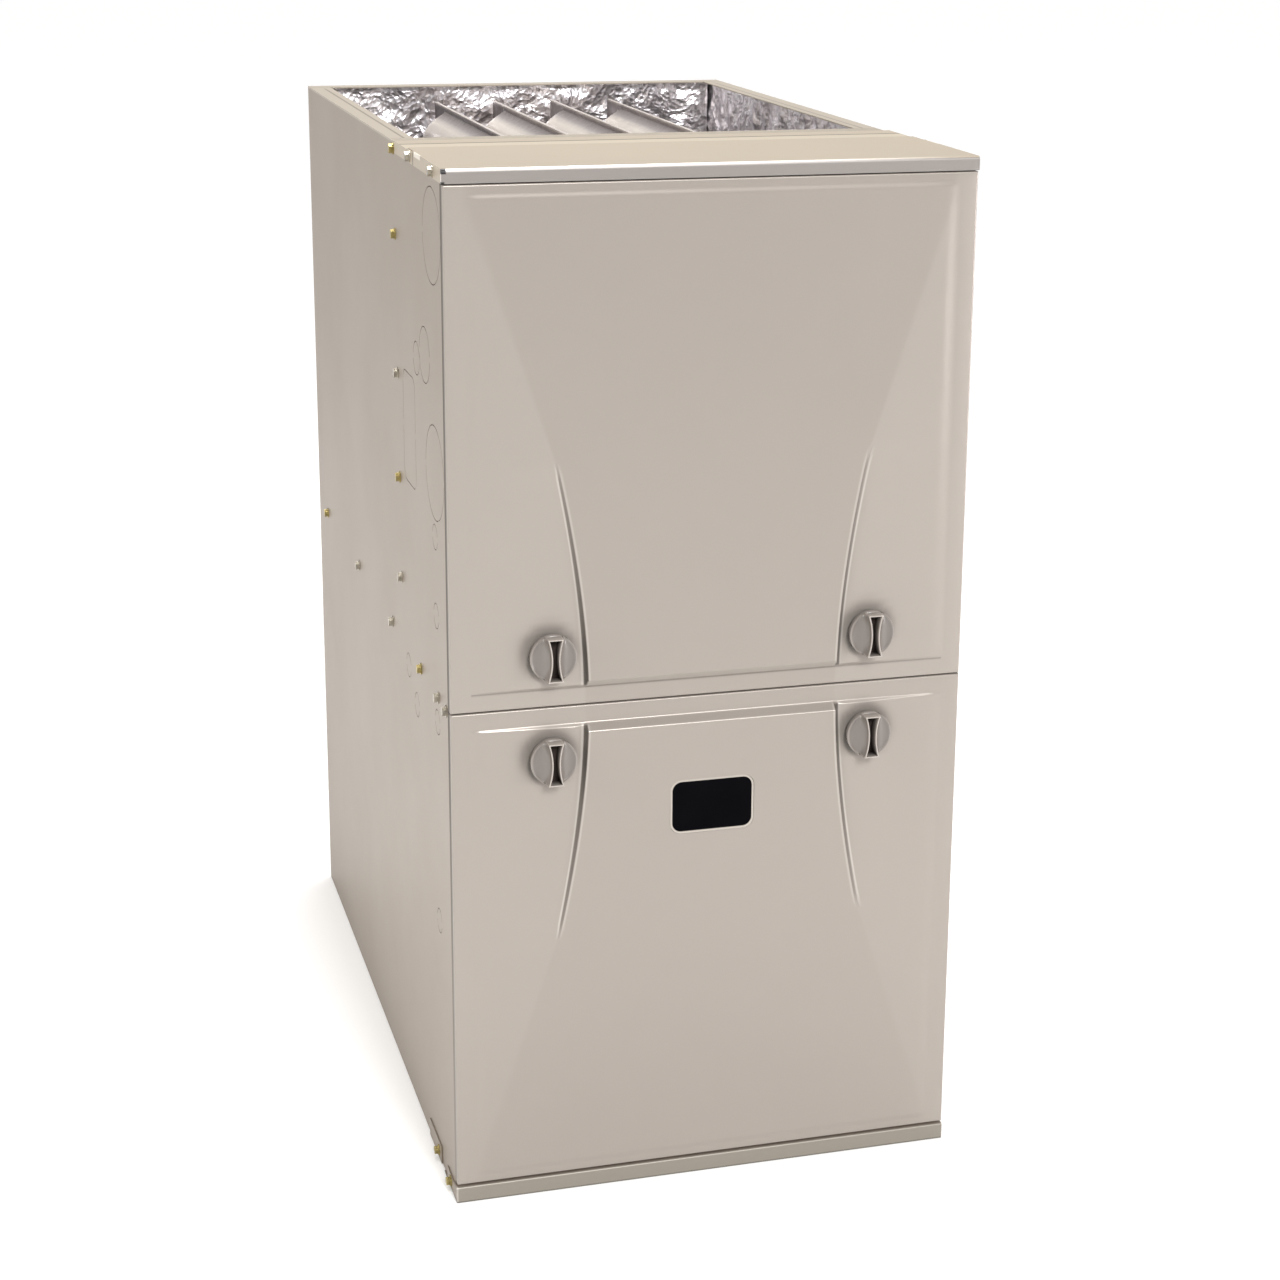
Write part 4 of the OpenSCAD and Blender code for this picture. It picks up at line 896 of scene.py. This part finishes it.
def door_surface(half, length):
    """A grid over a door: across, along and depth. Rows lie close where the field rises from the
    border; columns follow the step line, so that its round lips stay crisp."""
    inset, fall = edge_profile()
    far = length - BORDER / 2
    side = half - BORDER
    flat = np.concatenate([
        [EDGE_R, 7.0, 11.0, 13.0], np.arange(14.0, 25.0, 0.5), np.arange(26.0, 60.0, 3.0),
        np.arange(60.0, far - 8.0, 7.0), np.arange(far - 6.0, far + 2.2, 0.8), [length - EDGE_R]])
    v = np.concatenate([inset, flat, length - inset[::-1]])[:, None]
    v_depth = np.concatenate([fall, np.zeros(len(flat)), fall[::-1]])[:, None]
    line = step_line(v, far)
    panel = (line - 8.5) * np.linspace(0.0, 1.0, 13)[:-1]
    across = np.array([-7.0, -3.5, -2.2, -1.5, -1.1, -0.7, 0.0, 0.7, 1.1, 1.5, 2.2, 3.2, 4.6, 7.0])
    room = np.minimum(1.0, (side - 1.0 - line) / 9.0)
    step = line + across * np.where(across > 0, room, 1.0)
    last = step[:, -1:]
    pocket = last + (side - 1.5 - last) * np.linspace(0.0, 1.0, 24)[1:]
    border = np.concatenate([[side - 0.6, side + 0.3, side + 1.0, side + 1.7, half - EDGE_R],
                             half - inset[::-1]])
    u = np.hstack([panel, step, pocket, np.tile(border, (len(v), 1))])
    u_depth = np.zeros(u.shape[1])
    u_depth[-len(fall):] = fall[::-1]
    depth = mirrored(np.maximum(u_depth, v_depth) - door_relief(u, v, half, length))
    return mirrored(u, -1.0), np.tile(v, (1, depth.shape[1])), depth


def step_marks(x, v, length):
    """Painted shadow in a strip that darkens towards the knobs along each step, a thin painted
    highlight on each side of it, and 1 over the pockets but 0 over the panel. The strip reaches
    further over the pocket on the right, away from the light."""
    gap = step_gap(v)
    deep = gap / STEP_H
    wall = step_width(gap) * 0.5
    reach = wall + 0.3 + 0.7 * deep + np.where(x > 0, 1.0, 0.0)
    off = np.abs(x) - step_line(v, length - BORDER / 2)
    held = ease((v - FIELD_NEAR) / 3.0) * ease((APEX_V + 2.0 - v) / 10.0)
    strip = ease((off + wall + 0.2) / 0.6) * ease((reach - off) / 0.8)
    inner = INNER_LINE * np.exp(-((off + wall + 0.9) / LINE_W) ** 2)
    outer = OUTER_LINE * np.exp(-((off - reach - 0.5) / LINE_W) ** 2)
    blur = 3.0 + 0.04 * np.clip(v - APEX_V, 0.0, None)
    shadow = strip * held * (STRIP_TONE + STRIP_GAIN * deep)
    return shadow, held * (inner + outer), ease(off / blur + 0.5)


def knob_shadow(x, v, up):
    """A soft ring of shadow round each knob, a little above it and to its left."""
    middle = KNOB_UP + (RING_RISE if up else -RING_RISE)
    away = np.hypot(x - np.where(x > 0, KNOB_X, -KNOB_X) + RING_LEFT, v - middle)
    ring = RING_TONE * np.exp(-(np.clip(away - KNOB_R, 0.0, None) / RING_BLUR) ** 2)
    return ring * (away < KNOB_R + RING_REACH)


def door_marks(x, v, depth, length, up):
    """Where a door's paint is darkened with painted shadow and lightened with painted highlight, each
    from 0 to 1: the strips and lines along the steps, the pockets, the rings round the knobs, the
    turned-back sides, whose shadow fades down the lower door, and on the upper door the field's near
    edge."""
    u = np.abs(x)
    shadow, bright, pocket = step_marks(x, v, length)
    bright = np.maximum(bright, (UPPER_GLOW if up else LOWER_GLOW) * pocket)
    shadow = np.maximum(shadow, knob_shadow(x, v, up))
    tone = RETURN_TONE if up else RETURN_TONE - RETURN_FADE * v / length
    shadow = np.maximum(shadow, tone * ease((depth - 2.5) / 3.5) * (u > SIDE_FROM))
    if up:
        over = v - FIELD_NEAR
        foot = FOOT_TONE * np.exp(-((over + 0.2) / 0.7) ** 2)
        slant = SLANT_TONE * ease((over - 0.8) / 0.8) * ease((7.0 - over) / 1.5)
        shadow = np.maximum(shadow, foot * (u < FIELD_TO))
        bright = np.maximum(bright, slant * (u < POCKET_U))
    return shadow, bright


def make_door(name, up, openings=()):
    """A pressed door pan on its CAD node's place, with holes for the knobs' shafts and any other
    openings; up tells that its far end is its top."""
    low, high = span(name)
    half = (high[0] - low[0]) / 2 / MM
    length = (high[2] - low[2]) / MM
    front = high[1] / MM - DOOR_DEPTH
    seam = (low[2] if up else high[2]) / MM
    way = 1.0 if up else -1.0
    x, v, depth = door_surface(half, length)
    mesh = grid_mesh(name, np.stack([x, front + depth, seam + way * v], -1) * MM)
    tidy_mesh(mesh, facing=(0, -1, 0))
    made = piece(name, mesh, name + "_body", "door_paint")
    sheet = made.modifiers.new("sheet", "SOLIDIFY")
    sheet.thickness = SHEET_T * MM
    sheet.offset = -1.0  # all of it behind the surface
    knob_z = seam + way * KNOB_UP
    holes = [disc_outline(side * KNOB_X * MM, knob_z * MM, SHAFT_HOLE_R * MM) for side in (-1, 1)]
    cut(made, [prism(outline, (front - CUT_AHEAD) * MM, (front + CUT_BEHIND) * MM)
               for outline in [*holes, *openings]])
    smooth(made.data)
    x, y, z = points_of(made).T
    shadow, bright = door_marks(x, way * (z - seam), y - front, length, up)
    # painted shadow and painted highlight, stored on the door's points
    mark(made, "shadow", shadow)
    mark(made, "bright", bright)
    crisp(made, DOOR_CREASE)


def make_doors():
    """The two doors, the lower one with its window."""
    low, high = span("sight_gasket")
    middle = (low + high) / 2
    size = high - low + WINDOW_GAP * MM
    window = rounded_outline(middle[0], middle[2], size[0], size[2], WINDOW_R * MM)
    make_door("upper_door", True)
    make_door("lower_door", False, [window])


# ---------- knobs ----------

# In millimetres: x across, y along the grip and z out from the back of the disc.
DISC_T = 5.0
DISC_RIM = 1.3
DISH_DROP = 1.6
DISH_RISE, RIM_RISE = 9.4, 3.0
GRIP_TOP = 14.4
GRIP_END = 18.4
GRIP_WAIST = 3.6
GRIP_SIDE_R = 57.0
GRIP_WALL = 1.1
SLOT_END = 17.3
SLOT_FLOOR = 2.6
SLOT_SLACK = 0.02
SHAFT_R = 4.5
SHAFT_START = 0.5
BAR_T = 3.0
BAR_HALF = 14.5
BAR_R = 1.2
OVERLAP = 0.4
KNOB_CREASE = 40  # degrees


def grip_half(y):
    """Half width of the grip at a distance y from its middle: its sides are hollow arcs."""
    return GRIP_WAIST + GRIP_SIDE_R - np.sqrt(GRIP_SIDE_R ** 2 - y ** 2)


def knob_columns(waist, chord):
    """Columns across half a knob, from the middle of the slot over the grip's wall to its waist and
    over the flank to the disc's chord. Returns how far each lies from the middle, and its height on
    the grip, or None on the flank."""
    inner = waist - GRIP_WALL
    start = np.minimum(waist + 0.06, chord)
    columns = [(inner * share, SLOT_FLOOR) for share in (0.0, 0.5, 0.97)]
    columns += [(inner + shift, height) for shift, height in (
        (0.0, SLOT_FLOOR + 0.3), (0.02, GRIP_TOP - 0.22), (0.1, GRIP_TOP - 0.05), (0.28, GRIP_TOP),
        (0.85, GRIP_TOP), (1.03, GRIP_TOP - 0.07), (1.1, GRIP_TOP - 0.25))]
    columns += [(start + (chord - start) * share, None) for share in np.linspace(0.0, 1.0, 15)]
    return [(np.minimum(x, chord), height) for x, height in columns]


def knob_front():
    """The moulded front of a knob as a grid, in millimetres: x across, y along the grip, z out.
    Columns run from the middle of the slot over the grip's wall and the scooped flank to the rim and
    round to the back. At a share t of the way from the grip to the rim the flank is a dish that lies
    9.4 (1 - t) ** 3 + 3 t ** 3 over its floor; the disc's edge is rounded by an arc."""
    ends = [SLOT_END - 0.12, SLOT_END, SLOT_END + 0.06, SLOT_END + 0.2, GRIP_END - 0.18,
            GRIP_END - 0.04, GRIP_END + 0.02, GRIP_END + 0.1, GRIP_END + 0.5]
    rim = KNOB_R * np.sin(np.radians([76.5, 80.0, 83.0, 86.0, 88.5, 90.0]))
    upper = np.concatenate([np.linspace(0, SLOT_END - 0.5, 22), ends, rim])
    y = np.concatenate([-upper[:0:-1], upper])[:, None]
    along = np.abs(y)
    waist = grip_half(y)
    chord = np.sqrt(np.clip(KNOB_R ** 2 - y ** 2, 0.0, None))
    xs, zs = [], []
    for x, height in knob_columns(waist, chord):
        share = np.clip((x - waist) / np.maximum(chord - waist, 0.5), 0.0, 1.0)
        dish = DISH_RISE * (1.0 - share) ** 3 * (chord > waist) + RIM_RISE * share ** 3
        level = DISC_T - DISH_DROP + dish
        if height is not None:
            level = np.where(along > SLOT_END, max(height, GRIP_TOP - 0.1), height)
        xs.append(x)
        zs.append(np.where(along > GRIP_END, DISC_T, level))
    x, z = np.hstack(xs), np.hstack(zs)
    past = np.clip(np.hypot(x, y) - (KNOB_R - DISC_RIM), 0.0, DISC_RIM)
    rounding = DISC_RIM - np.sqrt(DISC_RIM ** 2 - past ** 2)
    z = np.where(z < GRIP_TOP - 0.5, z - rounding, z)
    x = mirrored(np.hstack([x, chord, chord * 0.985, chord * 0.5, np.zeros_like(chord)]), -1.0)
    z = mirrored(np.hstack([z, np.tile([0.5, 0.0, 0.0, 0.0], (len(y), 1))]))
    return np.stack([x, np.tile(y, (1, x.shape[1])), z], -1)


def turned(profile):
    """A surface of revolution about z through (radius, z) pairs, as a grid of points."""
    a = np.linspace(0.0, 2.0 * math.pi, AROUND + 1)
    radius, height = (np.array(values)[:, None] for values in zip(*profile))
    return np.stack([radius * np.cos(a), radius * np.sin(a), height * np.ones_like(a)], -1)


def soft_box(low, high, r):
    """A box with rounded upright corners and bevelled ends, as a grid from pole to pole along z."""
    x0, y0, z0 = low
    x1, y1, z1 = high
    middle = np.array([(x0 + x1) / 2, (y0 + y1) / 2])
    ring = rounded_outline(*middle, x1 - x0, y1 - y0, r, 4)
    ring = np.vstack([ring, ring[:1]])
    inset = middle + (ring - middle) * (1.0 - r / max(x1 - x0, y1 - y0))
    pole = middle + 0 * ring
    bevel = 0.4 * r
    rows = [(pole, z0), (inset, z0), (ring, z0 + bevel), (ring, z1 - bevel), (inset, z1), (pole, z1)]
    return np.stack([np.column_stack([p, np.full(len(p), z)]) for p, z in rows])


def joined(name, grids):
    """One mesh from several closed grids, each with its faces turned outwards."""
    work = bmesh.new()
    for points in grids:
        part = grid_mesh("part", points)
        tidy_mesh(part)
        work.from_mesh(part)
        bpy.data.meshes.remove(part)
    mesh = bpy.data.meshes.new(name)
    work.to_mesh(mesh)
    work.free()
    return mesh


def make_knob(name):
    """A moulded knob with its shaft and the cross bar that holds behind the latch rail. Its slot is
    darkened with painted shade, and its grip's top and its disc's rim are lightened with a painted
    highlight."""
    low, high = span(name)
    middle_x, _, middle_z = (low + high) / 2 / MM
    back = low[1] / MM + GRIP_TOP
    bar_back = back - high[1] / MM
    bar_front = bar_back + BAR_T
    shaft = turned([(0, SHAFT_START), (SHAFT_R, SHAFT_START), (SHAFT_R, bar_front),
                    (SHAFT_R, bar_front - OVERLAP), (0, bar_front - OVERLAP)])
    bar = soft_box((-SHAFT_R, -BAR_HALF, bar_back), (SHAFT_R, BAR_HALF, bar_front), BAR_R)
    grids = [np.stack([middle_x + x, back - z, middle_z + y], -1) * MM
             for x, y, z in (np.moveaxis(grid, -1, 0) for grid in (knob_front(), shaft, bar))]
    made = piece(name, joined(name, grids), name + "_body", "knob_plastic")
    crisp(made, KNOB_CREASE)
    points = points_of(made)
    x, y = points[:, 0] - middle_x, points[:, 2] - middle_z
    out = back - points[:, 1]
    front = out > 1.0
    slot = (np.abs(x) < grip_half(y) - GRIP_WALL + SLOT_SLACK) & (np.abs(y) < SLOT_END + 0.03)
    # the slot darkened as painted shade
    mark(made, "hollow", slot & front & (out < GRIP_TOP - 0.6))
    # painted highlight on the disc's rim and the grip's top
    rim = 0.35 * ease((np.hypot(x, y) - KNOB_R + 2.2) / 1.2) * front
    mark(made, "edge_highlight", np.maximum(ease((out - GRIP_TOP + 0.6) / 0.3), rim))


# ---------- insulation and heat cells ----------

# Insulation in millimetres; the base is a share of the thickness.
BLANKET_GRID = 3.4
BLANKET_BASE = 0.62
CRUMPLE_H = 6.5
BLANKET_EDGE = 16.0
BLANKETS = (("left", (1, 0), 11), ("right", (-1, 0), 23), ("back", (0, -1), 37))
CREASES = ((64.0, 1.0, 3), (31.0, 0.6, 4), (15.0, 0.3, 5))  # size, height and number of the waves
FOIL_CREASE = 28  # degrees

# Heat cells in millimetres; shade and shine are strengths from 0 to 1 of painted shade and painted
# highlight.
PASS_R = 22.0
TURN_R = 33.0
PASS_PITCH = 66.0
PASSES = 4
SEAM_OUT = 29.0
SEAM_HALF = 0.8
FRONT_ROOM = 12.0
FOLD_RISE, FOLD_W = 0.9, 5.5
CELL_GRID = (168, 108)
CELL_RIM = 1.5
CELL_SHADE, CREST_SHINE, RIM_SHINE = 0.62, 0.72, 0.3
CELL_CREASE = 45  # degrees
OUT_OF_REACH = 1e3


def crumple(u, v, seed):
    """Creased height from 0 to 1 over a sheet measured in millimetres: a sum of triangle waves in
    random directions at three sizes, each bent by a sine across it."""
    rng = np.random.default_rng(seed)
    height = np.zeros(np.broadcast(u, v).shape)
    for size, share, count in CREASES:
        for _ in range(count):
            a, phase, turn = rng.uniform(0.0, 2.0 * math.pi, 3)
            along = u * math.cos(a) + v * math.sin(a)
            across = v * math.cos(a) - u * math.sin(a)
            bend = 0.3 * size * np.sin(across / (0.62 * size) + turn)
            t = (along + bend) / (size * rng.uniform(0.8, 1.25)) + phase
            height += share / count * np.abs(2.0 * (t - np.floor(t + 0.5)))
    low, high = height.min(), height.max()
    return (height - low) / (high - low)


def make_blanket(name, inward, seed):
    """A slab of foil-faced insulation whose inner face is crumpled, and reaches its full thickness
    along its upright edges; inward is its normal."""
    low, high = span(name)
    deep, across = (0, 1) if inward[0] else (1, 0)
    runs = [np.linspace(low[k], high[k], int((high[k] - low[k]) / (BLANKET_GRID * MM)))
            for k in (across, 2)]
    u, v = np.meshgrid(*runs, indexing="ij")
    sign = inward[deep]
    wall = low[deep] if sign > 0 else high[deep]
    thick = high[deep] - low[deep]
    height = thick * BLANKET_BASE + crumple(u / MM, v / MM, seed) * CRUMPLE_H * MM
    edge = np.minimum(u - low[across], high[across] - u)
    height = thick + (height - thick) * ease(edge / (BLANKET_EDGE * MM))
    grids = []
    for level in (height, np.zeros_like(height)):
        points = np.zeros(u.shape + (3,))
        points[..., across] = u
        points[..., 2] = v
        points[..., deep] = wall + sign * level
        grids.append(points)
    crisp(piece(name, closed_pair(name, *grids), "cabinet", "foil_blanket"), FOIL_CREASE)


def passage_distance(y, z, length):
    """Distance from the line down the middle of the winding passage: straight passes, of which the
    first and the last start at the front, joined by half rings at their ends in turn."""
    turn_back = length - SEAM_OUT - TURN_R
    turn_front = TURN_R + PASS_R + FRONT_ROOM
    away = np.full(y.shape, OUT_OF_REACH)
    for k in range(PASSES):
        start = 0.0 if k in (0, PASSES - 1) else turn_front
        past = np.maximum(start - y, y - turn_back)
        level = SEAM_OUT + k * PASS_PITCH
        away = np.minimum(away, np.where(past > 0, OUT_OF_REACH, np.abs(z - level)))
    for k in range(PASSES - 1):
        middle = SEAM_OUT + (k + 0.5) * PASS_PITCH
        place, beyond = (turn_front, y <= turn_front) if k % 2 else (turn_back, y >= turn_back)
        ring = np.abs(np.hypot(y - place, z - middle) - TURN_R)
        away = np.minimum(away, np.where(beyond, ring, OUT_OF_REACH))
    return away


def make_heat_cell(name):
    """A clamshell heat cell: two pressed halves meet in a flat seam with a folded edge. Each half
    stands out by r * cos(pi d / 2 r) ** 0.75 at a distance d from the line down the middle of the
    winding passage. Its flat parts are darkened with painted shade, its crests and its top edge
    lightened with painted highlight."""
    low, high = span(name)
    centre = (low[0] + high[0]) / 2
    length = (high[1] - low[1]) / MM
    rise = (high[2] - low[2]) / MM
    runs = [np.linspace(0.0, size, count) for size, count in zip((length, rise), CELL_GRID)]
    y, z = np.meshgrid(*runs, indexing="ij")
    share = np.clip(passage_distance(y, z, length) / (PASS_R + 1.0), 0.0, 1.0)
    bulge = PASS_R * np.cos(math.pi / 2 * share) ** 0.75
    edge = np.minimum(np.minimum(z, rise - z), length - y)
    fold = FOLD_RISE * ease((FOLD_W - edge) / 1.6)
    out = (SEAM_HALF + bulge + fold) * MM
    sides = [np.stack([centre + s * out, low[1] + y * MM, low[2] + z * MM], -1) for s in (-1, 1)]
    made = piece(name, closed_pair(name, *sides), "cabinet", "aluminised")
    crisp(made, CELL_CREASE)
    x, y, z = points_of(made).T
    off = np.abs(x - centre / MM)
    top = z > high[2] / MM - CELL_RIM
    # painted shade on the flat parts, painted highlight on the crests and the top edge
    mark(made, "shadow", CELL_SHADE * ease((12.0 - off) / 10.0) * ~top)
    mark(made, "bright", CREST_SHINE * ease((off - 8.0) / 7.0) + RIM_SHINE * top)


photo_camera()
studio()
dress_nodes()
make_doors()
for side in ("upper_left", "upper_right", "lower_left", "lower_right"):
    make_knob(side + "_knob")
for side, inward, seed in BLANKETS:
    make_blanket("insulation_" + side, inward, seed)
for number in range(1, 5):
    make_heat_cell("heat_cell_%d" % number)
